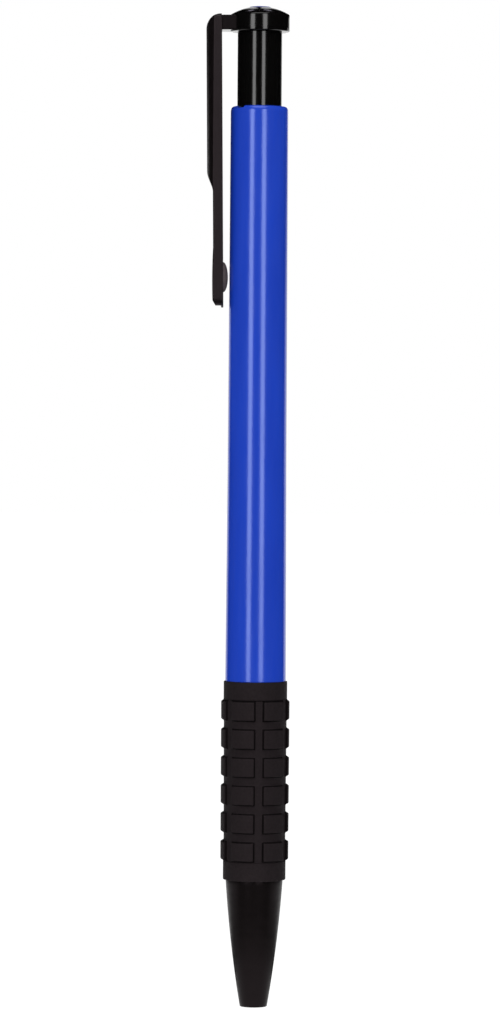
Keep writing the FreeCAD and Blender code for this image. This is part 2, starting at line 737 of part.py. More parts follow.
def make_clip_ball():
    """Long bump on the clip's inner face: half an ellipse turned about a line in the clip."""
    centre = Vector(-CLIP_INNER_X, 0, clip_foot_z + BALL_ABOVE_FOOT)
    half = Vector(0, 0, BALL_HALF_LENGTH)
    inward = Vector(-BALL_AXIS_DEPTH, 0, 0)
    ellipse = Part.Ellipse(centre + half, centre + Vector(BALL_RISE, 0, 0), centre)
    edges = [
        Part.ArcOfEllipse(ellipse, 0, math.pi).toShape(),
        line(centre - half, centre - half + inward),
        line(centre - half + inward, centre + half + inward),
        line(centre + half + inward, centre + half),
    ]
    spindle = Part.Face(Part.Wire(edges)).revolve(centre + inward, AXIS, 360)
    reach = BALL_AXIS_DEPTH + BALL_RISE
    window = block(centre.x - BALL_ROOT, centre.x + reach, -reach, reach,
                   centre.z - half.z, centre.z + half.z)
    return spindle.common(window)


def make_clip():
    """Pocket clip: flat base, domed outer panel, ball on the inner face, mortise for the arm."""
    wide = CLIP_TOP_HALF_WIDTH
    profile = clip_side_profile()
    profile.translate(Vector(0, -wide, 0))
    body = profile.extrude(Vector(0, 2 * wide, 0)).common(clip_front_outline())
    dome = Part.makeCylinder(CLIP_DOME_R, 2 * CLIP_LENGTH,
                             Vector(CLIP_DOME_R - CLIP_OUTER_X, 0, clip_foot_z - CLIP_LENGTH / 2), AXIS)
    body = body.common(dome).fuse(make_clip_ball()).removeSplitter()
    body.rotate(Vector(-CLIP_INNER_X, 0, clip_top_z), Vector(0, 1, 0), -CLIP_LEAN)
    mortise_z = arm_z + ARM_HEIGHT / 2
    half_height = TENON_HEIGHT / 2 + TENON_GAP
    half_width = TENON_WIDTH / 2 + TENON_GAP
    depth = TENON_LENGTH + TENON_GAP
    mortise = block(-CLIP_INNER_X - depth + SEAM_GAP, -CLIP_INNER_X + depth, -half_width, half_width,
                    mortise_z - half_height, mortise_z + half_height)
    return body.cut(mortise)


def build():
    """All pieces by name."""
    pieces = {
        "nose_cone": make_nose_cone(),
        "barrel": make_barrel(),
        "grip_sleeve": make_grip_sleeve(),
        "lead_retainer": make_lead_retainer(),
        "chuck_sleeve": make_chuck_sleeve(),
        "return_spring": make_return_spring(),
        "clutch_ring": make_clutch_ring(),
        "chuck_collar": make_chuck_collar(),
        "tube_connector": make_tube_connector(),
        "lead_tube": make_lead_tube(),
        "lead": make_lead(),
        "spare_lead_1": make_spare_lead(-1),
        "spare_lead_2": make_spare_lead(1),
        "button_stem": make_button_stem(),
        "button_cap": make_button_cap(),
        "top_plug": make_top_plug(),
        "clip": make_clip(),
    }
    for index in range(JAW_COUNT):
        pieces[f"chuck_jaw_{index + 1}"] = make_chuck_jaw(index)
    return pieces


os.makedirs("parts", exist_ok=True)
for name, shape in build().items():
    solids = shape.Solids
    whole = solids[0] if len(solids) == 1 else Part.makeCompound(solids)
    print(name, len(solids), whole.isValid(), round(whole.Volume, 3))
    whole.exportStep(f"parts/{name}.step")
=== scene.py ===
"""Looks of a push-feed clutch pencil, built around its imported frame.

Sizes are in millimetres and become metres where they reach Blender. The long
axis is Z, the mouth of the nose is at z = 0, and the clip lies on the -X side.
Heights come from the frame, so each piece sits where its solid does.
"""

import logging
import math
from collections.abc import Callable, Iterator, Sequence
from contextlib import contextmanager
from dataclasses import dataclass, replace
from enum import Enum
from statistics import fmean
from typing import Any

import bmesh
import bpy
from mathutils import Matrix, Quaternion, Vector


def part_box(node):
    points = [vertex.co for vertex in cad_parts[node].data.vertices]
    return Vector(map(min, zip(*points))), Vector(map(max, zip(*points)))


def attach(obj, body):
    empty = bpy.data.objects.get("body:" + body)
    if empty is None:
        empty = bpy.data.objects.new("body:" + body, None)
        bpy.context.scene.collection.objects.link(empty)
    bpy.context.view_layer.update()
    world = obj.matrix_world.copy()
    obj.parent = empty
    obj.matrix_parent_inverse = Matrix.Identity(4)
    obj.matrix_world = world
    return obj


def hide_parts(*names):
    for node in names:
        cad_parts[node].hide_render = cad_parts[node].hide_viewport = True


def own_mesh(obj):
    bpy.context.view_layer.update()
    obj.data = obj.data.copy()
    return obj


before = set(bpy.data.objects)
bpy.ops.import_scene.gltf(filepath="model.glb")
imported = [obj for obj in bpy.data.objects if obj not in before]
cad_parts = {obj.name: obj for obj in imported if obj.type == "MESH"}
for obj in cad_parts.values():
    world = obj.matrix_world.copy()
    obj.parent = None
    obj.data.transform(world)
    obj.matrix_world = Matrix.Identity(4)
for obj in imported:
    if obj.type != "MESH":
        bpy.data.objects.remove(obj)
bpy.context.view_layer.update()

log = logging.getLogger("clutch_pencil")

MM = 0.001             # metres in a millimetre
WELD = 0.001           # points closer than this are one point
NEAR = 0.02            # how far a picked point may lie from a place, and a tool's end from a face
SOFT_ANGLE = 32.0      # edges flatter than this are shaded as one surface
FACE_WEIGHT = 100      # large faces keep their own shading, and small ones follow them
ALONG = 0.9            # a direction with more than this of an axis runs along it
EDGE_SEGMENTS = 3      # steps in the rounding of an edge
FINE_SEGMENTS = 2      # steps in the rounding of an edge that is hardly seen
FULL_TURN = 360.0
FRONT = -90.0          # angle of the front, which faces -Y
CIRCLE_START = 90.0    # angle at which Blender begins a circle

Span = tuple[float, float]                     # low and high end
Ring = tuple[float, float]                     # radius and height of one station of a turned wall
Place = Callable[[Vector, Vector], bool]       # tests a middle in mm and a direction
Triple = tuple[float, float, float]            # sizes or a place along the three axes
Colour = tuple[float, float, float, float]     # linear, with its alpha
Piece = bpy.types.Object
Tree = bpy.types.NodeTree
Socket = bpy.types.NodeSocket


class Pick(Enum):
    """What an edit picks by its place."""

    POINTS = "VERT"
    EDGES = "EDGE"
    FACES = "FACE"


class Fit(Enum):
    """How a tool solid changes the piece that it meets."""

    ADD = "UNION"
    CUT = "DIFFERENCE"
    KEEP_COMMON = "INTERSECT"


class Ends(Enum):
    """What closes the two ends of a turned wall."""

    JOINED = "the last ring runs on to the first"
    CAPPED = "a flat face closes each end"
    OPEN = "nothing"


# ---------------------------------------------------------------- bench tools


def span(node: str) -> Span:
    """Lowest and highest height of a CAD node, in millimetres."""
    low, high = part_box(node)
    return low.z / MM, high.z / MM


def about(middle: float, reach: float) -> Span:
    """Span that reaches as far to both sides of a middle."""
    return middle - reach, middle + reach


def steps(start: float, end: float, count: int) -> list[float]:
    """Even steps from a start to an end, both of them included."""
    return [start + (end - start) * index / count for index in range(count + 1)]


def metres(sizes: Sequence[float]) -> tuple[float, ...]:
    """Sizes or a place, turned from millimetres to metres."""
    return tuple(size * MM for size in sizes)


def radius_of(place: Vector) -> float:
    """Distance of a place from the long axis."""
    return math.hypot(place.x, place.y)


def clear_selection() -> None:
    """Leaves object mode with nothing selected."""
    bpy.ops.object.select_all(action="DESELECT")


def take(piece: Piece) -> None:
    """Makes a piece the only selected and the active one.

    Args:
        piece: object to work on next.
    """
    clear_selection()
    piece.select_set(True)
    bpy.context.view_layer.objects.active = piece


def apply_place(piece: Piece) -> None:
    """Moves a piece's place, turn and scale into its mesh."""
    take(piece)
    bpy.ops.object.transform_apply(location=True, rotation=True, scale=True)


def claim(name: str) -> Piece:
    """Names the primitive that was just added, with its place in its mesh.

    Args:
        name: name of the piece.

    Returns:
        The new object, at the origin, unturned and unscaled.
    """
    piece = bpy.context.object
    piece.name = name
    piece.data.name = name
    apply_place(piece)
    return piece


@contextmanager
def editing(piece: Piece) -> Iterator[None]:
    """Holds a piece in edit mode for the length of a with block.

    Args:
        piece: object to edit.
    """
    take(piece)
    bpy.ops.object.mode_set(mode="EDIT")
    yield
    bpy.ops.object.mode_set(mode="OBJECT")


def pick(piece: Piece, kind: Pick, wanted: Place) -> None:
    """Selects, in edit mode, only what a test wants.

    Args:
        piece: object in edit mode.
        kind: points, edges or faces.
        wanted: gets the middle in millimetres, and the normal of a point or
            face or the direction of an edge.
    """
    bpy.ops.mesh.select_mode(type=kind.value)
    bpy.ops.mesh.select_all(action="DESELECT")
    mesh = bmesh.from_edit_mesh(piece.data)
    if kind is Pick.POINTS:
        for point in mesh.verts:
            point.select_set(wanted(point.co / MM, point.normal))
    elif kind is Pick.EDGES:
        for edge in mesh.edges:
            start, end = (point.co for point in edge.verts)
            edge.select_set(wanted((start + end) / (2 * MM), (end - start).normalized()))
    else:
        for face in mesh.faces:
            face.select_set(wanted(face.calc_center_median() / MM, face.normal))
    mesh.select_flush_mode()
    bmesh.update_edit_mesh(piece.data)


def pick_all_points() -> None:
    """In edit mode, selects every point."""
    bpy.ops.mesh.select_mode(type=Pick.POINTS.value)
    bpy.ops.mesh.select_all(action="SELECT")


def extrude(rise: float) -> None:
    """In edit mode, extrudes what is picked along Z."""
    bpy.ops.mesh.extrude_region_move(TRANSFORM_OT_translate={"value": (0, 0, rise * MM)})


def resize(factors: Sequence[float], centre: Sequence[float]) -> None:
    """In edit mode, scales what is picked about a centre."""
    bpy.ops.transform.resize(value=factors, center_override=metres(centre))


def weld(capped: bool) -> None:
    """In edit mode, merges points that meet and turns every face outwards.

    Args:
        capped: closes open ends with flat faces first.
    """
    bpy.ops.mesh.select_all(action="SELECT")
    if capped:
        bpy.ops.mesh.fill_holes(sides=0)
    bpy.ops.mesh.remove_doubles(threshold=WELD * MM)
    bpy.ops.mesh.normals_make_consistent(inside=False)


def turn(name: str, rings: Sequence[Ring], facets: int, ends: Ends = Ends.JOINED, start_angle: float = 0.0
         ) -> Piece:
    """Raises a wall of revolution ring by ring from a circle.

    Args:
        name: name of the piece.
        rings: stations of the wall.
        facets: sides of the circle.
        ends: what closes the first and the last ring.
        start_angle: turn of the first side, in degrees.

    Returns:
        The turned piece.
    """
    clear_selection()
    wall = [*rings, rings[0]] if ends is Ends.JOINED else rings
    radius, height = wall[0]
    bpy.ops.mesh.primitive_circle_add(vertices=facets, radius=radius * MM, location=metres((0, 0, height)),
                                      rotation=(0, 0, math.radians(start_angle)))
    piece = claim(name)
    with editing(piece):
        pick_all_points()
        for (last_radius, last_height), (radius, height) in zip(wall, wall[1:]):
            extrude(height - last_height)
            growth = radius / last_radius
            resize((growth, growth, 1), (0, 0, height))
        weld(capped=ends is Ends.CAPPED)
    return piece


def block(name: str, x: Span, half: float, z: Span) -> Piece:
    """A box that is as wide to both sides of the XZ plane.

    Args:
        name: name of the piece.
        x: its ends along X.
        half: half its width along Y.
        z: its ends along Z.

    Returns:
        The box.
    """
    clear_selection()
    bpy.ops.mesh.primitive_cube_add(size=1.0, location=metres((sum(x) / 2, 0, sum(z) / 2)))
    bpy.context.object.scale = metres((x[1] - x[0], 2 * half, z[1] - z[0]))
    return claim(name)


def swing(piece: Piece, degrees: float, axis: str = "Z", pivot: Sequence[float] = (0, 0, 0)) -> None:
    """Turns a piece, with the turn in its mesh.

    Args:
        piece: object to turn.
        degrees: angle of the turn.
        axis: X, Y or Z.
        pivot: place that stays where it is.
    """
    place = Matrix.Translation(metres(pivot))
    piece.matrix_world = place @ Matrix.Rotation(math.radians(degrees), 4, axis) @ place.inverted()
    apply_place(piece)


def shift(piece: Piece, offset: Sequence[float]) -> None:
    """Moves a piece by an offset, with the move in its mesh."""
    piece.location = metres(offset)
    apply_place(piece)


def apply_modifier(piece: Piece, kind: str, settings: dict[str, Any]) -> None:
    """Adds a modifier to a piece, sets it and applies it.

    Args:
        piece: object that it changes.
        kind: type name of the modifier.
        settings: values by property name.
    """
    take(piece)
    modifier = piece.modifiers.new(kind.lower(), kind)
    for name, value in settings.items():
        setattr(modifier, name, value)
    bpy.ops.object.modifier_apply(modifier=modifier.name)


def fit(piece: Piece, tool: Piece, how: Fit) -> None:
    """Adds, cuts or keeps what a tool solid shares with a piece, and removes the tool."""
    apply_modifier(piece, "BOOLEAN", {"operation": how.value, "object": tool, "solver": "EXACT"})
    bpy.data.objects.remove(tool)


def soften(piece: Piece, width: float, segments: int = EDGE_SEGMENTS) -> None:
    """Rounds every edge of a piece that isn't shaded as one surface."""
    apply_modifier(piece, "BEVEL", {
        "width": width * MM,
        "segments": segments,
        "limit_method": "ANGLE",
        "angle_limit": math.radians(SOFT_ANGLE),
        "use_clamp_overlap": False,
    })


def round_edges(piece: Piece, width: float, segments: int, wanted: Place) -> None:
    """In edit mode, rounds only the edges that a test wants."""
    pick(piece, Pick.EDGES, wanted)
    bpy.ops.mesh.bevel(offset=width * MM, segments=segments, affect="EDGES")


def round_ring(piece: Piece, radius: float, height: float, width: float) -> None:
    """In edit mode, rounds the edge ring at a radius and height."""
    round_edges(piece, width, EDGE_SEGMENTS, lambda middle, along: abs(middle.z - height) < NEAR
                and abs(radius_of(middle) - radius) < NEAR and abs(along.z) < NEAR)


def polish_shading(piece: Piece) -> None:
    """Smooth shading that keeps sharp edges and flat faces as they are.

    Args:
        piece: finished mesh.
    """
    take(piece)
    bpy.ops.object.shade_smooth_by_angle(angle=math.radians(SOFT_ANGLE))
    apply_modifier(piece, "WEIGHTED_NORMAL", {"keep_sharp": True, "weight": FACE_WEIGHT})


# ------------------------------------------------------------------- finishes


BYTE_MAX = 255
SRGB_KNEE, SRGB_SLOPE = 0.04045, 12.92         # the straight start of the sRGB curve
SRGB_OFFSET, SRGB_POWER = 0.055, 2.4           # the curve above it
MIX_A, MIX_B, MIX_RESULT = 6, 7, 2             # colour sockets of a Mix node
NOISE_LOW, NOISE_HIGH = 0.25, 0.75             # nearly all of a noise lies between these


def srgb(code: str) -> Colour:
    """Linear colour of an sRGB hex value."""
    parts = (part / BYTE_MAX for part in bytes.fromhex(code[1:]))
    return (*(part / SRGB_SLOPE if part <= SRGB_KNEE
              else ((part + SRGB_OFFSET) / (1 + SRGB_OFFSET)) ** SRGB_POWER for part in parts), 1.0)


def grey(level: float) -> Colour:
    """Grey of a linear level."""
    return level, level, level, 1.0


def fresh_tree(owner: bpy.types.Material | bpy.types.World) -> Tree:
    """Empties the node tree of a new material or world.

    Args:
        owner: material or world.

    Returns:
        Its tree.
    """
    owner.use_nodes = True
    owner.node_tree.nodes.clear()
    return owner.node_tree


def add_node(tree: Tree, kind: str, settings: dict[Any, Any] | None = None,
             links: dict[Any, Socket] | None = None) -> bpy.types.Node:
    """Adds a node with its settings and links.

    Args:
        tree: node tree that gets it.
        kind: type name of the node.
        settings: values by socket name, socket number or property name.
        links: sockets of other nodes by socket name or number.

    Returns:
        The new node.
    """
    node = tree.nodes.new(kind)
    for name, value in (settings or {}).items():
        if isinstance(name, int) or name in node.inputs:
            node.inputs[name].default_value = value
        else:
            setattr(node, name, value)
    for name, socket in (links or {}).items():
        tree.links.new(socket, node.inputs[name])
    return node


@dataclass(frozen=True)
class Grain:
    """A cloudy pattern of a real size.

    size is the width of one cloud, and stretch how many times longer it is
    along each axis.
    """

    size: float
    stretch: Triple = (1.0, 1.0, 1.0)
    detail: float = 2.0

    def lay(self, tree: Tree) -> Socket:
        """Adds the pattern to a material.

        Args:
            tree: the material's node tree.

        Returns:
            The pattern's value, about 0.5 on average.
        """
        place = add_node(tree, "ShaderNodeTexCoord")
        scale = [1 / (self.size * MM * longer) for longer in self.stretch]
        mapping = add_node(tree, "ShaderNodeMapping", {"Scale": scale}, {"Vector": place.outputs["Object"]})
        noise = add_node(tree, "ShaderNodeTexNoise", {"Scale": 1.0, "Detail": self.detail},
                         {"Vector": mapping.outputs["Vector"]})
        return noise.outputs["Fac"]


@dataclass(frozen=True)
class Finish:
    """A surface finish: its colours, its polish and its relief, each on its own grain."""

    name: str
    colour: str
    shade: str
    tone: Grain
    polish: Grain
    relief: Grain
    roughness: tuple[float, float]
    relief_height: float
    ior: float = 1.5
    metallic: float = 0.0
    specular: float = 0.5
    gloss_tint: str = "#FFFFFF"
    subsurface: float = 0.0
    scatter: Triple = (0.4, 0.6, 1.4)    # reach of red, green and blue light inside

    def material(self) -> bpy.types.Material:
        """Builds the material, or gives the one that is there already.

        Returns:
            The material that all pieces of this finish share.
        """
        known = bpy.data.materials.get(self.name)
        if known is not None:
            return known
        material = bpy.data.materials.new(self.name)
        tree = fresh_tree(material)
        tone = add_node(tree, "ShaderNodeMix", {
            "data_type": "RGBA", MIX_A: srgb(self.colour), MIX_B: srgb(self.shade),
        }, {"Factor": self.tone.lay(tree)})
        dull = add_node(tree, "ShaderNodeMapRange", {
            "From Min": NOISE_LOW, "From Max": NOISE_HIGH,
            "To Min": self.roughness[0], "To Max": self.roughness[1],
        }, {"Value": self.polish.lay(tree)})
        bump = add_node(tree, "ShaderNodeBump", {"Strength": 1.0, "Distance": self.relief_height * MM},
                        {"Height": self.relief.lay(tree)})
        settings = {"Metallic": self.metallic}
        if self.metallic < 1.0:
            settings |= {
                "IOR": self.ior,
                "Specular IOR Level": self.specular,
                "Specular Tint": srgb(self.gloss_tint),
                "Subsurface Weight": self.subsurface,
                "Subsurface Radius": metres(self.scatter),
                "Subsurface Scale": 1.0,
            }
        shader = add_node(tree, "ShaderNodeBsdfPrincipled", settings, {
            "Base Color": tone.outputs[MIX_RESULT],
            "Roughness": dull.outputs["Result"],
            "Normal": bump.outputs["Normal"],
        })
        add_node(tree, "ShaderNodeOutputMaterial", links={"Surface": shader.outputs["BSDF"]})
        return material


# Barrel: polystyrene injected in a polished mould. The surface mirrors lamps
# with slightly soft edges, and the pigment is a little uneven along the flow.
BLUE_STYRENE = Finish(
    name="blue_moulded_styrene", colour="#1A41BD", shade="#1536A9",
    tone=Grain(3.0, (1.0, 1.0, 6.0)), polish=Grain(0.8, (1.0, 1.0, 8.0)), relief=Grain(0.5),
    roughness=(0.16, 0.22), relief_height=0.0012, ior=1.57, specular=0.95, gloss_tint="#C6D8FF",
)
# Stem and cap: the same polystyrene in black, from a polished mould.
BLACK_STYRENE = Finish(
    name="black_moulded_styrene", colour="#080707", shade="#050505",
    tone=Grain(2.0), polish=Grain(0.6, (1.0, 1.0, 6.0)), relief=Grain(0.45),
    roughness=(0.10, 0.15), relief_height=0.001, ior=1.57,
)
# Arm: the same plastic, but its faces come from a spark-eroded part of the
# mould, so they look drier and a little lighter than the cap.
ARM_STYRENE = Finish(
    name="arm_satin_styrene", colour="#0B0909", shade="#070606",
    tone=Grain(1.2), polish=Grain(0.4), relief=Grain(0.14),
    roughness=(0.38, 0.48), relief_height=0.002, ior=1.53, specular=0.15, gloss_tint="#FFE7F0",
)
# Plug: a deeper blue of the same plastic, very glossy.
PLUG_STYRENE = Finish(
    name="plug_moulded_styrene", colour="#1B2C96", shade="#14206F",
    tone=Grain(0.9), polish=Grain(0.4), relief=Grain(0.5),
    roughness=(0.08, 0.14), relief_height=0.0006, ior=1.57,
)
# Clip: tough ABS from a finely spark-eroded mould, which spreads a lamp's
# reflection into a dull sheen.
CLIP_ABS = Finish(
    name="clip_moulded_abs", colour="#0F0B0C", shade="#090707",
    tone=Grain(1.5), polish=Grain(0.5), relief=Grain(0.14),
    roughness=(0.38, 0.48), relief_height=0.002, ior=1.53, specular=0.42, gloss_tint="#FFE7F0",
)
# Ball of the clip: the same ABS, a little rougher, in a lighter grey-brown that is a painted highlight.
BALL_PAINTED_HIGHLIGHT_ABS = Finish(
    name="ball_painted_highlight_abs", colour="#766B64", shade="#544B46",
    tone=Grain(0.8), polish=Grain(0.4), relief=Grain(0.12),
    roughness=(0.50, 0.62), relief_height=0.003, ior=1.53,
)
# Nose: satin ABS, duller than the stem, with streaks from the mould's lathe.
NOSE_ABS = Finish(
    name="nose_satin_abs", colour="#110E0E", shade="#0C0A0A",
    tone=Grain(1.2), polish=Grain(0.5, (4.0, 4.0, 1.0)), relief=Grain(0.16, (3.0, 3.0, 1.0)),
    roughness=(0.28, 0.38), relief_height=0.0015, ior=1.53, specular=0.12, gloss_tint="#FFE7F0",
)
# Grip: thermoplastic rubber. Fine eroded grain scatters light, and the feel
# layer on it makes the black look dry and faintly brown.
GRIP_RUBBER = Finish(
    name="grip_soft_rubber", colour="#171314", shade="#110E0F",
    tone=Grain(0.9), polish=Grain(0.4), relief=Grain(0.12, detail=4.0),
    roughness=(0.66, 0.80), relief_height=0.008, specular=0.4, gloss_tint="#FFE7F0",
)
# Walls of the grip's pads: the same rubber painted darker, a painted shade that stands for the
# shadow in the grooves and draws a dark line round each pad. It is also rougher and more grainy.
PAD_WALL_PAINTED_SHADE_RUBBER = replace(
    GRIP_RUBBER, name="grip_painted_shade_rubber", colour="#080606", shade="#050404",
    roughness=(0.80, 0.92), relief_height=0.012, specular=0.15,
)
# Chuck: brass bar turned on an automatic lathe. Its feed lines run round it
# and draw a lamp out into a soft ring.
TURNED_BRASS = Finish(
    name="turned_brass", colour="#D2AE63", shade="#BE9650",
    tone=Grain(1.6), polish=Grain(0.3, (6.0, 6.0, 1.0)), relief=Grain(0.08, (20.0, 20.0, 1.0)),
    roughness=(0.22, 0.34), relief_height=0.001, metallic=1.0,
)
# Clutch ring: hardened steel, tumbled until its edges shine.
TUMBLED_STEEL = Finish(
    name="tumbled_steel", colour="#B9BBBD", shade="#A4A6A9",
    tone=Grain(1.0), polish=Grain(0.3), relief=Grain(0.12),
    roughness=(0.20, 0.30), relief_height=0.0008, metallic=1.0,
)
# Spring: drawn stainless wire. The die leaves fine lines along it, so it
# glints in thin bright threads.
DRAWN_WIRE = Finish(
    name="drawn_spring_wire", colour="#C6C4BF", shade="#ACAAA6",
    tone=Grain(0.8), polish=Grain(0.2, (5.0, 5.0, 1.0)), relief=Grain(0.05),
    roughness=(0.18, 0.28), relief_height=0.0006, metallic=1.0,
)
# Connector: natural acetal, waxy and a little see-through in thin walls.
NATURAL_ACETAL = Finish(
    name="natural_acetal", colour="#E9E7DF", shade="#E0DDD2",
    tone=Grain(2.0), polish=Grain(0.7), relief=Grain(0.3),
    roughness=(0.34, 0.44), relief_height=0.001, ior=1.48, subsurface=0.15,
)
# Magazine tube: extruded polypropylene, milky, with faint lines along the draw.
MILKY_TUBE = Finish(
    name="milky_extruded_tube", colour="#DADCDC", shade="#CFD2D3",
    tone=Grain(2.5, (1.0, 1.0, 8.0)), polish=Grain(0.5, (1.0, 1.0, 10.0)),
    relief=Grain(0.3, (1.0, 1.0, 12.0)),
    roughness=(0.30, 0.42), relief_height=0.0012, ior=1.49, subsurface=0.2,
)
# Lead: fired graphite and clay. It is dark grey with the greasy sheen of
# graphite flakes that lie along it.
FIRED_GRAPHITE = Finish(
    name="fired_graphite", colour="#3A3A3C", shade="#2C2C2E",
    tone=Grain(0.5, (1.0, 1.0, 3.0)), polish=Grain(0.25, (1.0, 1.0, 4.0)), relief=Grain(0.09),
    roughness=(0.34, 0.52), relief_height=0.002, ior=1.9,
)
# Brake ring in the nose: plain moulded rubber, dull and dark.
BRAKE_RUBBER = Finish(
    name="brake_ring_rubber", colour="#1C1B1B", shade="#151414",
    tone=Grain(0.8), polish=Grain(0.3), relief=Grain(0.1),
    roughness=(0.70, 0.85), relief_height=0.004,
)


# --------------------------------------------------------------------- pieces


def settle(piece: Piece, body: str, node: str, finish: Finish) -> None:
    """Dresses a finished piece and lets it stand for its CAD node.

    Args:
        piece: finished mesh.
        body: CAD body that it moves with.
        node: CAD node that it stands for.
        finish: its surface.
    """
    polish_shading(piece)
    piece.data.materials.clear()
    piece.data.materials.append(finish.material())
    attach(piece, body)
    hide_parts(node)
    log.info("%s: %d faces, rides on %s", piece.name, len(piece.data.polygons), body)


def refinish(piece: Piece, finish: Finish, wanted: Place) -> None:
    """Gives some faces of a settled piece a finish of their own.

    Args:
        piece: settled piece.
        finish: their surface.
        wanted: test of a face, as for pick.
    """
    piece.data.materials.append(finish.material())
    with editing(piece):
        pick(piece, Pick.FACES, wanted)
        piece.active_material_index = len(piece.data.materials) - 1
        bpy.ops.object.material_slot_assign()


def dress(nodes: Sequence[str], finish: Finish) -> None:
    """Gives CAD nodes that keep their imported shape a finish.

    Args:
        nodes: names of the nodes.
        finish: their surface.
    """
    for node in nodes:
        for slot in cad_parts[node].material_slots:
            slot.material = finish.material()
    log.info("%s: %s", finish.name, ", ".join(nodes))


@dataclass
class Casing:
    """Barrel, nose cone and rubber grip: the pieces that the hand holds still."""

    facets: int = 128
    barrel_shoulder: float = 4.25
    barrel_waist: float = 4.11
    barrel_waist_above_grip: float = 30.0
    barrel_top: float = 4.02
    barrel_front: float = 3.65
    barrel_bore: float = 3.0
    screw_bore: float = 3.21
    screw_bore_length: float = 9.39
    guide_bore: float = 3.17
    guide_length: float = 22.0
    rim_rise: float = 0.22
    rim_crown: float = 3.56
    rim_slope: float = 9.0
    rim_depth: float = 0.75
    rim_stations: int = 12
    keyway_angle: float = 40.5
    keyway_width: float = 2.0
    keyway_depth: float = 0.36
    notch_depth: float = 0.24
    edge: float = 0.1

    nose_tip: float = 1.9
    nose_bulge: float = 0.235
    nose_top: float = 4.01
    nose_stations: int = 28
    nose_edge: float = 0.07
    mouth_bore: float = 1.12
    mouth_length: float = 2.4
    pocket: float = 1.82
    pocket_top: float = 7.5
    room: float = 2.6
    room_floor: float = 8.2
    sleeve_bore: float = 2.72
    sleeve_bore_floor: float = 12.75
    screw: float = 3.15
    screw_root: float = 2.98
    screw_pitch: float = 1.2
    screw_turns: int = 4
    screw_plain: float = 1.6

    grip_bore: float = 3.67
    band_low: float = 4.39
    band_low_height: float = 2.65
    band_top: float = 4.45
    band_top_height: float = 2.55
    base_low: float = 4.31
    base_top: float = 4.41
    pad_low: float = 4.76
    pad_top: float = 4.79
    pad_rows: int = 6
    pad_columns: int = 6
    pad_gap: float = 0.98
    pad_lean: float = 0.26
    facets_per_pitch: int = 10
    facets_per_groove: int = 2
    groove_turn: float = 6.8
    pad_round: float = 0.1
    painted_shade_band: float = 0.13

    def build(self) -> None:
        """Builds the three pieces."""
        self.build_barrel()
        self.build_nose()
        self.build_grip()

    def build_barrel(self) -> None:
        """Tapered tube with a rounded rim and two keyways for the button."""
        low, top = span("barrel")
        _, ledge = span("grip_sleeve")
        guide = top - self.guide_length
        bore_step = low + self.screw_bore_length
        rim = top + self.rim_rise
        crown_drop = (self.rim_crown - self.guide_bore) * math.tan(math.radians(self.rim_slope))
        reach = self.barrel_top - self.rim_crown
        rounding = [(self.rim_crown + reach * math.cos(angle),
                     rim - crown_drop - self.rim_depth * (1 - math.sin(angle)))
                    for angle in steps(0, math.pi / 2, self.rim_stations)[:-1]]
        barrel = turn("barrel_tube", [
            (self.screw_bore, low), (self.barrel_front, low),
            (self.barrel_front, ledge), (self.barrel_shoulder, ledge),
            (self.barrel_waist, ledge + self.barrel_waist_above_grip),
            *rounding,
            (self.guide_bore, rim), (self.guide_bore, guide),
            (self.barrel_bore, guide), (self.barrel_bore, bore_step),
            (self.screw_bore, bore_step),
        ], self.facets)
        with editing(barrel):
            round_ring(barrel, self.barrel_shoulder, ledge, self.edge)
        half = self.keyway_width / 2
        deep = self.guide_bore + self.keyway_depth
        above = rim + self.notch_depth
        for side in (-1, 1):
            keyway = block("keyway", (-deep, -half), half, (guide + NEAR, above))
            notch = block("notch", (-2 * self.barrel_top, -half), half, (rim - self.notch_depth, above))
            swing(notch, -self.rim_slope, "Y", (-self.guide_bore, 0, rim - self.notch_depth))
            fit(keyway, notch, Fit.ADD)
            swing(keyway, side * self.keyway_angle)
            fit(barrel, keyway, Fit.CUT)
        settle(barrel, "casing", "barrel", BLUE_STYRENE)

    def build_nose(self) -> None:
        """Convex cone with the mouth, the rooms inside and a screwed end."""
        low, top = span("nose_cone")
        shoulder, _ = span("barrel")
        flank = []
        for share in steps(0, 1, self.nose_stations):
            straight = self.nose_tip + share * (self.nose_top - self.nose_tip)
            swell = self.nose_bulge * (1 - (2 * share - 1) ** 2)
            flank.append((straight + swell, low + share * (shoulder - low)))
        thread = []
        for turn_index in range(self.screw_turns):
            foot = shoulder + self.screw_plain + turn_index * self.screw_pitch
            thread += [(self.screw, foot), (self.screw_root, foot + self.screw_pitch / 2)]
        thread.append((self.screw, shoulder + self.screw_plain + self.screw_turns * self.screw_pitch))
        nose = turn("nose_shell", [
            (self.mouth_bore, low), *flank,
            (self.screw, shoulder), *thread,
            (self.screw, top), (self.sleeve_bore, top),
            (self.sleeve_bore, self.sleeve_bore_floor), (self.room, self.sleeve_bore_floor),
            (self.room, self.room_floor), (self.pocket, self.pocket_top),
            (self.pocket, self.mouth_length), (self.mouth_bore, self.mouth_length),
        ], self.facets)
        soften(nose, self.nose_edge)
        settle(nose, "casing", "nose_cone", NOSE_ABS)

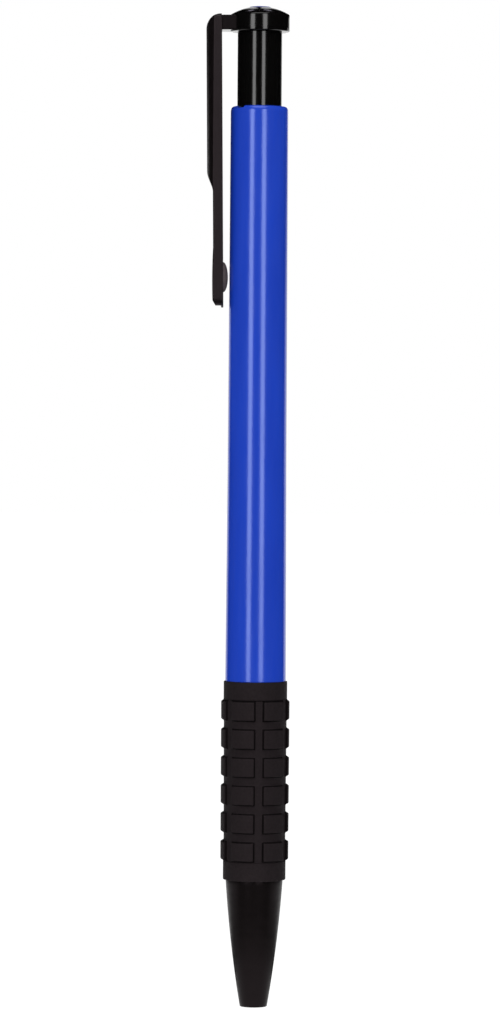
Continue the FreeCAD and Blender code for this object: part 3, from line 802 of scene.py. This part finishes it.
    def build_grip(self) -> None:
        """Rubber sleeve with rows of raised pads between two plain bands."""
        low, top = span("grip_sleeve")
        field_low = low + self.band_low_height
        field = top - self.band_top_height - field_low
        pitch = (field + self.pad_gap) / self.pad_rows
        rows = []
        base = []
        for row in range(self.pad_rows):
            start = field_low + row * pitch
            end = start + pitch - self.pad_gap
            rows.append((start, end))
            base += [(self.base_at((z - field_low) / field), z) for z in (start, end)]
        first_groove = self.groove_turn + FRONT
        grip = turn("grip_rubber", [
            (self.grip_bore, low), (self.band_low, low),
            (self.band_low, field_low), *base, (self.band_top, field_low + field),
            (self.band_top, top), (self.grip_bore, top),
        ], self.pad_columns * self.facets_per_pitch, start_angle=first_groove - CIRCLE_START)
        with editing(grip):
            for index, row in enumerate(rows):
                share = (2 * index + 1) / (2 * self.pad_rows)     # the row's middle, up the field
                crest = self.pad_low + (self.pad_top - self.pad_low) * share
                pick(grip, Pick.FACES, lambda middle, normal, row=row: row[0] < middle.z < row[1]
                     and self.on_column(middle, first_groove))
                bpy.ops.mesh.inset(thickness=self.pad_lean * MM,
                                   depth=(crest - self.base_at(share)) * MM)
        soften(grip, self.pad_round)
        settle(grip, "casing", "grip_sleeve", GRIP_RUBBER)
        # Painted shade: the pad walls, between the base and the pad tops, get the darker rubber.
        wall = about(fmean((self.base_low, self.base_top, self.pad_low, self.pad_top)), self.painted_shade_band)
        refinish(grip, PAD_WALL_PAINTED_SHADE_RUBBER, lambda middle, normal: field_low < middle.z < field_low + field
                 and wall[0] < radius_of(middle) < wall[1])

    def on_column(self, place: Vector, first_groove: float) -> bool:
        """Tells whether a place on the grip's outside lies on a column of pads.

        Args:
            place: middle of a face.
            first_groove: angle of the first groove, in degrees.

        Returns:
            True on a column, and False in a groove or in the bore.
        """
        pitch = FULL_TURN / self.pad_columns
        groove_half = pitch * self.facets_per_groove / self.facets_per_pitch / 2
        angle = math.degrees(math.atan2(place.y, place.x)) - first_groove
        from_groove = abs((angle + pitch / 2) % pitch - pitch / 2)
        return from_groove > groove_half and radius_of(place) > (self.grip_bore + self.base_low) / 2

    def base_at(self, share: float) -> float:
        """Radius of the sleeve between its pads, at a share of the padded field."""
        return self.base_low + (self.base_top - self.base_low) * share


@dataclass
class PushButton:
    """Stem, domed cap with the bridge arm, and the plug that holds them together."""

    facets: int = 128
    stem: float = 3.11
    socket: float = 2.52
    hollow: float = 2.22
    hollow_step: float = 16.02
    crown_height: float = 3.4
    shank_bore: float = 1.22
    stem_spigot: float = 2.3
    rib_outer: float = 3.43
    rib_root: float = 2.82
    rib_width: float = 1.8
    rib_length: float = 10.0
    rib_angle: float = 40.5

    cap: float = 4.14
    cap_wall: float = 2.35
    dome: float = 7.8
    dome_stations: int = 14
    cap_socket: float = 2.32
    socket_depth: float = 1.62
    plug_seat: float = 1.57
    plug_head: float = 0.62
    cap_edge: float = 0.15

    arm_lift: float = 0.15
    arm_height: float = 2.06
    arm_reach: float = 5.25
    arm_root: float = 2.6
    arm_half: float = 2.35
    arm_root_half: float = 2.55
    arm_edge: float = 0.2
    arm_segments: int = 4
    seam: float = 0.06
    seam_lean: float = 0.65
    seam_inset: float = 0.06
    tenon: Triple = (0.8, 2.4, 0.9)

    plug_radius: float = 1.55
    plug_shank: float = 1.2
    plug_rise: float = 0.06
    plug_stations: int = 10
    plug_centre: float = 0.05
    plug_edge: float = 0.04
    edge: float = 0.1

    def build(self) -> None:
        """Builds the three pieces."""
        self.build_stem()
        self.build_cap()
        self.build_plug()

    def build_stem(self) -> None:
        """Tube with a socket for the magazine, a crown for the cap and two ribs."""
        low, top = span("button_stem")
        cap_low, _ = span("button_cap")
        crown = cap_low - self.crown_height
        step = low + self.hollow_step
        stem = turn("stem_tube", [
            (self.socket, low), (self.stem, low),
            (self.stem, cap_low), (self.stem_spigot, cap_low),
            (self.stem_spigot, top), (self.shank_bore, top),
            (self.shank_bore, crown), (self.hollow, crown),
            (self.hollow, step), (self.socket, step),
        ], self.facets)
        soften(stem, self.edge)
        for side in (-1, 1):
            rib = block("rib", (-self.rib_outer, -self.rib_root), self.rib_width / 2,
                        (low + NEAR, low + self.rib_length))
            soften(rib, self.edge)
            swing(rib, side * self.rib_angle)
            fit(stem, rib, Fit.ADD)
        settle(stem, "button", "button_stem", BLACK_STYRENE)

    def build_cap(self) -> None:
        """Domed cap with its sockets, and the bridge arm that carries the clip."""
        low, _ = span("button_cap")
        wall_top = low + self.cap_wall
        apex = wall_top + self.drop_at(self.cap)
        skin = [(radius, apex - self.drop_at(radius))
                for radius in steps(self.cap, self.plug_seat, self.dome_stations)]
        seat = apex - self.plug_head
        cap = turn("cap_dome", [
            (self.cap_socket, low), (self.cap, low), *skin,
            (self.plug_seat, seat), (self.shank_bore, seat),
            (self.shank_bore, low + self.socket_depth), (self.cap_socket, low + self.socket_depth),
        ], self.facets)
        with editing(cap):
            round_ring(cap, self.cap, low, self.cap_edge)
            round_ring(cap, self.cap, wall_top, self.cap_edge)
        fit(cap, self.build_arm(low + self.arm_lift), Fit.ADD)
        settle(cap, "button", "button_cap", BLACK_STYRENE)
        refinish(cap, ARM_STYRENE, lambda middle, normal: radius_of(middle) > self.cap + NEAR)

    def build_arm(self, low: float) -> Piece:
        """Bridge arm that widens towards the cap, with a tenon for the clip.

        Args:
            low: height of its lower face.

        Returns:
            The arm.
        """
        top = low + self.arm_height
        middle_height = (low + top) / 2
        arm = block("arm", (-self.arm_reach, -self.arm_root), self.arm_half, (low, top))
        with editing(arm):
            pick(arm, Pick.FACES, lambda middle, normal: normal.x > ALONG)
            resize((1, self.arm_root_half / self.arm_half, 1), (0, 0, middle_height))
            round_edges(arm, self.arm_edge, self.arm_segments,
                        lambda middle, along: abs(along.x) > ALONG)
        collar = block("collar", about(-self.arm_reach, self.seam), self.arm_half - self.seam_inset,
                       (low + self.seam_inset, top - self.seam_inset))
        with editing(collar):
            pick(collar, Pick.POINTS, lambda middle, normal: middle.x < -self.arm_reach
                 and middle.z < middle_height)
            back = self.arm_height * math.sin(math.radians(self.seam_lean))
            bpy.ops.transform.translate(value=metres((back, 0, 0)))
        fit(arm, collar, Fit.ADD)
        length, width, height = self.tenon
        tenon = block("tenon", about(-self.arm_reach, length), width / 2, about(middle_height, height / 2))
        fit(arm, tenon, Fit.ADD)
        return arm

    def drop_at(self, radius: float) -> float:
        """How far the dome lies below its apex at a radius."""
        return self.dome - math.sqrt(self.dome**2 - radius**2)

    def build_plug(self) -> None:
        """Plug whose crown carries on the dome, with a fine groove round it."""
        low, crown = span("top_plug")
        seat = crown - self.plug_rise - self.plug_head
        skin = [(radius, crown - self.drop_at(radius))
                for radius in steps(self.plug_radius - self.edge, self.plug_centre, self.plug_stations)]
        plug = turn("plug_crown", [
            (self.plug_shank - self.edge, low), (self.plug_shank, low + self.edge),
            (self.plug_shank, seat), (self.plug_radius, seat),
            (self.plug_radius, skin[0][1] - self.edge), *skin,
        ], self.facets // 2, Ends.CAPPED)
        soften(plug, self.plug_edge, FINE_SEGMENTS)
        settle(plug, "button", "top_plug", PLUG_STYRENE)


@dataclass
class PocketClip:
    """Long clip that leans towards the barrel: panel, shoulder, tongue, cut foot and ball."""

    length: float = 40.6
    inner: float = 5.33
    outer: float = 7.51
    lean: float = 0.65
    corner: float = 2.1
    corner_segments: int = 16
    panel_length: float = 22.3
    shoulder_height: float = 2.05
    shoulder_round: float = 0.5
    bend_stations: int = 4
    tongue: float = 6.71
    swell: float = 6.86
    foot: float = 6.84
    foot_cut: tuple[float, float] = (0.4, 0.7)
    stations: int = 12
    top_half: float = 2.5
    foot_half: float = 1.95
    foot_round: float = 1.3
    top_round: float = 0.7
    outline_segments: int = 12
    dome: float = 3.33
    dome_facets: int = 192
    lip: float = 0.32
    lip_height: float = 0.3
    ball_half: float = 2.1
    ball_rise: float = 0.66
    ball_axis: float = 1.04
    ball_root: float = 0.3
    ball_above_foot: float = 3.95
    ball_stations: int = 32
    ball_facets: int = 96
    mortise: Triple = (0.85, 2.66, 1.16)
    mortise_below_top: float = 1.22
    tongue_edge: float = 0.26
    edge: float = 0.07

    def build(self) -> None:
        """Builds the clip upright from its side, front and dome, then leans it."""
        foot, top = self.ends()
        clip = self.side_profile()
        fit(clip, self.front_outline(), Fit.KEEP_COMMON)
        self.round_tongue(clip)
        clear_selection()
        bpy.ops.mesh.primitive_cylinder_add(
            vertices=self.dome_facets, radius=self.dome * MM, depth=2 * self.length * MM,
            location=metres((self.dome - self.outer, 0, (top + foot) / 2)))
        fit(clip, claim("dome"), Fit.KEEP_COMMON)
        soften(clip, self.edge, FINE_SEGMENTS)
        fit(clip, self.ball(), Fit.ADD)
        swing(clip, -self.lean, "Y", (-self.inner, 0, top))
        depth, width, height = self.mortise
        mortise = block("mortise", about(-self.inner, depth), width / 2,
                        about(top - self.mortise_below_top, height / 2))
        fit(clip, mortise, Fit.CUT)
        settle(clip, "clip", "clip", CLIP_ABS)
        tilt = math.tan(math.radians(self.lean))
        # The ball gets the lighter finish, a painted highlight. Only the ball stands out of the inner face,
        # which leans by now.
        refinish(clip, BALL_PAINTED_HIGHLIGHT_ABS, lambda middle, normal: middle.x + self.inner - NEAR
                 > (top - middle.z) * tilt)

    def ends(self) -> Span:
        """Heights of the cut foot and of the top, with the clip upright."""
        _, top = span("clip")
        return top - self.length, top

    def outer_stations(self) -> list[tuple[float, float]]:
        """Outer face, from the panel down to the cut foot.

        Returns:
            Heights and distances from the long axis.
        """
        foot, top = self.ends()
        shoulder = top - self.panel_length
        low = shoulder - self.shoulder_height
        soft = self.shoulder_round
        slope = (self.outer - self.tongue) / self.shoulder_height
        run = [(shoulder + soft, self.outer)]
        # Each bend is a parabola that leaves the slope before it and meets the one after.
        bends = ((shoulder, self.outer, 0.0, slope), (low, self.tongue, slope, 0.0))
        for corner, start, before, after in bends:
            for share in steps(0, 1, self.bend_stations):
                bend = before * (1 - share) ** 2 - after * share**2
                run.append((corner + soft * (1 - 2 * share), start + soft * bend))
        middle = foot + self.ball_above_foot
        swell_top = middle + 2 * self.ball_half
        cut_top = foot + self.foot_cut[1]
        knots = ((swell_top, self.tongue), (middle, self.swell), (cut_top, self.foot))
        for height in steps(swell_top, cut_top, self.stations):
            run.append((height, curve_through(knots, height)))
        run.append((foot, self.foot - self.foot_cut[0]))
        return list(dict.fromkeys(run))

    def side_profile(self) -> Piece:
        """Upright bar, drawn down station by station to the foot and its lip.

        Returns:
            The bar.
        """
        foot, top = self.ends()
        stations = self.outer_stations()
        half = self.top_half
        clip = block("clip_bar", (-self.outer, -self.inner), half, (stations[0][0], top))
        with editing(clip):
            pick(clip, Pick.FACES, lambda middle, normal: normal.z < -ALONG)
            for (last_height, last_outer), (height, outer) in zip(stations, stations[1:]):
                extrude(height - last_height)
                resize(((outer - self.inner) / (last_outer - self.inner), 1, 1), (-self.inner, 0, height))
            round_edges(clip, self.corner, self.corner_segments, lambda middle, along:
                        abs(along.y) > ALONG and middle.z > top - NEAR and middle.x < -self.outer + NEAR)
        lip = block("lip", (-self.inner - self.lip, -self.inner), half, about(foot, self.lip_height))
        fit(clip, lip, Fit.ADD)
        return clip

    def front_outline(self) -> Piece:
        """Plate that narrows to a round foot, as seen from the front.

        Returns:
            The plate, thick enough to take in the whole clip.
        """
        foot, top = self.ends()
        low = foot - self.lip_height
        plate = block("outline", (-2 * self.outer, 0), self.top_half, (low, top))
        with editing(plate):
            pick(plate, Pick.FACES, lambda middle, normal: normal.z < -ALONG)
            resize((1, self.foot_half / self.top_half, 1), (0, 0, low))
            for height, width in ((low, self.foot_round), (top, self.top_round)):
                round_edges(plate, width, self.outline_segments, lambda middle, along, height=height:
                            abs(along.x) > ALONG and abs(middle.z - height) < NEAR)
        return plate

    def round_tongue(self, clip: Piece) -> None:
        """Rounds the two long outer edges of the tongue.

        Args:
            clip: the clip, upright.
        """
        foot, top = self.ends()
        high = top - self.panel_length - self.shoulder_height
        with editing(clip):
            round_edges(clip, self.tongue_edge, EDGE_SEGMENTS, lambda middle, along:
                        abs(along.z) > ALONG and abs(middle.y) > self.foot_half / 2
                        and middle.x < -self.tongue + NEAR and foot + self.foot_cut[1] < middle.z < high)

    def ball(self) -> Piece:
        """Long bump on the inner face, which holds the cloth.

        Returns:
            The bump, with a root that reaches into the clip.
        """
        height = self.ends()[0] + self.ball_above_foot
        rings = [(self.ball_axis + self.ball_rise * math.sin(angle),
                  height - self.ball_half * math.cos(angle))
                 for angle in steps(0, math.pi, self.ball_stations)]
        ball = turn("ball", rings, self.ball_facets, Ends.CAPPED)
        shift(ball, (-self.inner - self.ball_axis, 0, 0))
        reach = self.ball_axis + self.ball_rise
        window = block("window", (-self.inner - self.ball_root, -self.inner + reach), reach,
                       about(height, 2 * self.ball_half))
        fit(ball, window, Fit.KEEP_COMMON)
        return ball


@dataclass
class LeadStore:
    """Magazine tube with its spare leads, which show once the button is off, and the lead in use."""

    facets: int = 96
    tube: float = 2.5
    tube_bore: float = 2.2
    lead: float = 1.0
    point: float = 0.55
    point_length: float = 0.9
    spare_offset: float = 1.025
    edge: float = 0.05

    def build(self) -> None:
        """Builds the tube and the three leads."""
        low, top = span("lead_tube")
        tube = turn("magazine_tube", [
            (self.tube_bore, low), (self.tube, low),
            (self.tube, top), (self.tube_bore, top),
        ], self.facets)
        soften(tube, self.edge)
        settle(tube, "feed_unit", "lead_tube", MILKY_TUBE)
        self.build_lead("lead_in_use", "lead", "lead", 0.0, sharpened=True)
        self.build_lead("spare_stick_1", "spare_lead_1", "feed_unit", -self.spare_offset)
        self.build_lead("spare_stick_2", "spare_lead_2", "feed_unit", self.spare_offset)

    def build_lead(self, name: str, node: str, body: str, offset: float, sharpened: bool = False) -> None:
        """Turns one lead, with a blunt point where it writes.

        Args:
            name: name of the piece.
            node: CAD node that it stands for.
            body: CAD body that it moves with.
            offset: distance of its axis from the long axis, along X.
            sharpened: tapers the low end.
        """
        low, top = span(node)
        start = (self.point, low) if sharpened else (self.lead, low)
        taper = [(self.lead, low + self.point_length)] if sharpened else []
        lead = turn(name, [start, *taper, (self.lead, top)], self.facets // 2, Ends.CAPPED)
        soften(lead, self.edge)
        shift(lead, (offset, 0, 0))
        settle(lead, body, node, FIRED_GRAPHITE)


@dataclass
class ChuckMechanism:
    """Spring, and the finishes of the turned and moulded parts that grip and feed the lead."""

    wire: float = 0.15
    coil: float = 2.0
    wire_facets: int = 16
    steps_per_turn: int = 32
    closed_turns: int = 1
    closed_pitch: float = 0.34
    open_turns: int = 6
    seat: float = 18.0         # height that stays in place while the spring shortens
    squashed: float = 5 / 9    # share of its length that a full press leaves

    def build(self) -> None:
        """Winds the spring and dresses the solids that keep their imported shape."""
        self.wind_spring()
        dress(("chuck_sleeve", "chuck_collar", "chuck_jaw_1", "chuck_jaw_2", "chuck_jaw_3"), TURNED_BRASS)
        dress(("clutch_ring",), TUMBLED_STEEL)
        dress(("tube_connector",), NATURAL_ACETAL)
        dress(("lead_retainer",), BRAKE_RUBBER)

    def wind_spring(self) -> None:
        """Winds round wire between two closed end turns."""
        low, top = span("return_spring")
        open_height = top - low - 2 * self.wire - 2 * self.closed_turns * self.closed_pitch
        closed = (self.closed_turns, self.closed_pitch)
        clear_selection()
        bpy.ops.mesh.primitive_circle_add(vertices=self.wire_facets, radius=self.wire * MM,
                                          location=metres((self.coil, 0, low + self.wire)),
                                          rotation=(math.pi / 2, 0, 0))
        spring = claim("wound_spring")
        with editing(spring):
            pick_all_points()
            for count, pitch in (closed, (self.open_turns, open_height / self.open_turns), closed):
                for _ in range(count * self.steps_per_turn):
                    extrude(pitch / self.steps_per_turn)
                    bpy.ops.transform.rotate(value=math.tau / self.steps_per_turn, orient_axis="Z",
                                             center_override=(0, 0, 0))
            weld(capped=True)
        settle(spring, "casing", "return_spring", DRAWN_WIRE)
        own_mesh(spring)


def curve_through(knots: Sequence[tuple[float, float]], place: float) -> float:
    """Value at a place of the curve through knots, a parabola through three.

    Args:
        knots: places and their values.
        place: where the value is wanted.

    Returns:
        The value there.
    """
    total = 0.0
    for index, (own_place, value) in enumerate(knots):
        for other, (other_place, _) in enumerate(knots):
            if other != index:
                value *= (place - other_place) / (own_place - other_place)
        total += value
    return total


# --------------------------------------------------------------------- studio


def direction(azimuth: float, elevation: float) -> Vector:
    """Direction away from the pencil: azimuth 0 is in front and grows to the right, in degrees."""
    around, up = math.radians(azimuth), math.radians(elevation)
    return Vector((math.sin(around) * math.cos(up), -math.cos(around) * math.cos(up), math.sin(up)))


def stand(name: str, data: bpy.types.Camera | bpy.types.Light, place: Vector, facing: Quaternion
          ) -> bpy.types.Object:
    """Adds a camera or lamp to the scene.

    Args:
        name: its name.
        data: its camera or light.
        place: where it stands, in millimetres.
        facing: its turn.

    Returns:
        The new object.
    """
    thing = bpy.data.objects.new(name, data)
    bpy.context.scene.collection.objects.link(thing)
    thing.location = place * MM
    thing.rotation_mode = "QUATERNION"
    thing.rotation_quaternion = facing
    return thing


@dataclass(frozen=True)
class Lamp:
    """A rectangular lamp that faces the pencil, placed round it in degrees and millimetres.

    azimuth is 0 in front of the pencil and grows to the right, and elevation
    is measured up from the floor.
    """

    name: str
    azimuth: float
    elevation: float
    distance: float
    size: tuple[float, float]
    power: float
    aim_height: float
    colour: str = "#FFFFFF"
    in_diffuse: bool = True
    in_gloss: bool = True

    def hang(self) -> None:
        """Adds the lamp to the scene."""
        data = bpy.data.lights.new(self.name, "AREA")
        data.shape = "RECTANGLE"
        data.size, data.size_y = metres(self.size)
        data.energy = self.power
        data.color = srgb(self.colour)[:3]
        away = direction(self.azimuth, self.elevation)
        lamp = stand(self.name, data, Vector((0, 0, self.aim_height)) + away * self.distance,
                     away.to_track_quat("Z", "Y"))
        lamp.visible_camera = False
        lamp.visible_diffuse = self.in_diffuse
        lamp.visible_glossy = self.in_gloss


# The strips draw the two lines down the barrel. The softbox lights from above,
# the overhead lamp gives the upper faces their sheen, and the two small panels
# behind glint in the dome of the cap.
LAMPS = (
    Lamp("strip_left", azimuth=-28.3, elevation=0.0, distance=600.0, size=(165.0, 490.0), power=0.884,
         aim_height=155.0),
    Lamp("strip_right", azimuth=19.8, elevation=0.0, distance=600.0, size=(165.0, 490.0), power=0.884,
         aim_height=155.0),
    Lamp("softbox", azimuth=0.0, elevation=64.0, distance=1150.0, size=(900.0, 900.0), power=2.0,
         aim_height=70.0, in_gloss=False),
    Lamp("overhead", azimuth=0.0, elevation=68.0, distance=1150.0, size=(900.0, 900.0), power=4.0,
         aim_height=125.0, in_diffuse=False),
    Lamp("panel_left", azimuth=-171.4, elevation=43.0, distance=1000.0, size=(62.0, 90.0), power=0.021,
         aim_height=139.0, colour="#F1EBFF", in_diffuse=False),
    Lamp("panel_right", azimuth=172.8, elevation=43.0, distance=1000.0, size=(84.0, 90.0), power=0.028,
         aim_height=139.0, colour="#F1EBFF", in_diffuse=False),
)


@dataclass(frozen=True)
class Window:
    """An opening in the curtain, by its azimuths behind the pencil, its radii and its top."""

    azimuth: Span
    radius: Span
    top: float

    def holds(self, place: Vector) -> bool:
        """Tells whether a place on the curtain is in the opening."""
        around = math.degrees(math.atan2(place.x, place.y))
        return (self.azimuth[0] < around < self.azimuth[1]
                and self.radius[0] < radius_of(place) < self.radius[1] and place.z < self.top)


# The wide window rims the cap and stem, the low one the barrel's lower half,
# the narrow one the dome of the cap, and the one in the floor the nose's flanks.
WINDOWS = (
    Window(azimuth=(-15.0, 30.0), radius=(200.0, 1600.0), top=300.0),
    Window(azimuth=(-40.0, 47.0), radius=(200.0, 1600.0), top=150.0),
    Window(azimuth=(-5.0, 5.0), radius=(200.0, 1600.0), top=1200.0),
    Window(azimuth=(-110.0, 110.0), radius=(70.0, 200.0), top=5.0),
)


@dataclass
class Studio:
    """Camera, lamps, a pale floor, and a white surround behind a dark curtain."""

    camera_distance: float = 650.0
    camera_elevation: float = 1.3
    camera_roll: float = 0.4
    aim: Triple = (-0.94, 0.0, 70.17)
    view_height: float = 141.66
    sensor: float = 36.0
    fill: float = 1.1
    white: float = 1.0
    floor_drop: float = 4.5
    floor_size: float = 6000.0
    floor_tone: float = 0.4
    floor_glow: float = 0.6
    cloth: str = "#0A0A0A"
    curtain_radius: float = 1500.0
    curtain_gap: float = 34.0
    curtain_floor: tuple[float, ...] = (70.0, 200.0)
    curtain_hem: float = 1.0
    curtain_rings: tuple[float, ...] = (150.0, 300.0, 1200.0)
    curtain_top: float = 2900.0
    curtain_panels: int = 72
    post: Span = (-40.0, 15.0)
    post_heights: Span = (560.0, 1200.0)
    post_gap: float = 20.0

    def build(self) -> None:
        """Sets up the whole studio."""
        self.set_view()
        self.add_camera()
        for lamp in LAMPS:
            lamp.hang()
        self.add_floor()
        self.add_curtain()
        self.add_surround()
        log.info("studio: camera, %d lamps, floor, curtain and surround", len(LAMPS))

    def set_view(self) -> None:
        """Plain view transform, so that colours render as written."""
        bpy.context.scene.view_settings.view_transform = "Standard"

    def add_camera(self) -> None:
        """Camera with a long lens, nearly level with the middle of the pencil."""
        data = bpy.data.cameras.new("camera")
        data.sensor_width = self.sensor
        data.lens = self.sensor * self.camera_distance / self.view_height
        back = direction(0.0, self.camera_elevation)
        roll = Matrix.Rotation(math.radians(self.camera_roll), 4, "Z").to_quaternion()
        camera = stand("camera", data, Vector(self.aim) + back * self.camera_distance,
                       (-back).to_track_quat("-Z", "Y") @ roll)
        bpy.context.scene.camera = camera

    def add_floor(self) -> None:
        """Pale floor just below the furthest reach of the fed lead."""
        clear_selection()
        bpy.ops.mesh.primitive_plane_add(size=self.floor_size * MM,
                                         location=metres((0, 0, -self.floor_drop)))
        floor = claim("floor")
        material = bpy.data.materials.new("pale_floor")
        tree = fresh_tree(material)
        diffuse = add_node(tree, "ShaderNodeBsdfDiffuse", {"Color": grey(self.floor_tone)})
        glow = add_node(tree, "ShaderNodeEmission", {"Color": grey(self.white)},
                        {"Strength": seen_directly(tree, self.floor_glow)})
        both = add_node(tree, "ShaderNodeAddShader", links={0: diffuse.outputs[0], 1: glow.outputs[0]})
        add_node(tree, "ShaderNodeOutputMaterial", links={"Surface": both.outputs[0]})
        floor.data.materials.append(material)

    def add_curtain(self) -> None:
        """Dark tent that only gloss shows, with windows behind the pencil.

        It keeps the black plastics deep between the strips. Its windows give
        their outlines a thin light rim, wider near the floor, and the post
        parts the glint on the dome of the cap.
        """
        hem = self.curtain_hem - self.floor_drop
        curtain = turn("curtain", [
            *((radius, hem) for radius in (self.curtain_gap, *self.curtain_floor, self.curtain_radius)),
            *((self.curtain_radius, height) for height in (*self.curtain_rings, self.curtain_top)),
            (self.curtain_gap, self.curtain_top),
        ], self.curtain_panels, Ends.OPEN)
        with editing(curtain):
            pick(curtain, Pick.FACES, lambda middle, normal: any(window.holds(middle) for window in WINDOWS))
            bpy.ops.mesh.delete(type="FACE")
        post = block("window_post", self.post, self.post_gap / 2, self.post_heights)
        shift(post, (0, self.curtain_radius - self.post_gap - self.post_gap / 2, 0))
        material = bpy.data.materials.new("dark_curtain")
        tree = fresh_tree(material)
        cloth = add_node(tree, "ShaderNodeBsdfDiffuse", {"Color": srgb(self.cloth)})
        add_node(tree, "ShaderNodeOutputMaterial", links={"Surface": cloth.outputs[0]})
        for drape in (curtain, post):
            drape.data.materials.append(material)
            drape.visible_camera = False
            drape.visible_diffuse = False
            drape.visible_shadow = False

    def add_surround(self) -> None:
        """World that is white where it is seen and a fill light for the rest."""
        world = bpy.data.worlds.new("surround")
        bpy.context.scene.world = world
        tree = fresh_tree(world)
        fill, white = (add_node(tree, "ShaderNodeBackground", {"Color": grey(self.white), "Strength": level})
                       for level in (self.fill, self.white))
        mix = add_node(tree, "ShaderNodeMixShader", links={
            0: seen_directly(tree, 1.0), 1: fill.outputs[0], 2: white.outputs[0],
        })
        add_node(tree, "ShaderNodeOutputWorld", links={"Surface": mix.outputs[0]})


def seen_directly(tree: Tree, strength: float) -> Socket:
    """Tells the rays that show a surface from those that light by it.

    Args:
        tree: node tree of a material or world.
        strength: value for camera, glossy and transmission rays.

    Returns:
        A value that is strength for those rays and 0 for others.
    """
    rays = add_node(tree, "ShaderNodeLightPath")
    seen = rays.outputs["Is Camera Ray"]
    for kind in ("Is Glossy Ray", "Is Transmission Ray"):
        either = add_node(tree, "ShaderNodeMath", {"operation": "MAXIMUM"}, {0: seen, 1: rays.outputs[kind]})
        seen = either.outputs[0]
    return add_node(tree, "ShaderNodeMath", {"operation": "MULTIPLY", 1: strength}, {0: seen}).outputs[0]


def main() -> None:
    """Builds every sub-assembly and the studio around them."""
    logging.basicConfig(level=logging.INFO, format="%(name)s %(message)s")
    for part in (Casing(), PushButton(), PocketClip(), LeadStore(), ChuckMechanism(), Studio()):
        part.build()


if __name__ == "__main__":
    main()
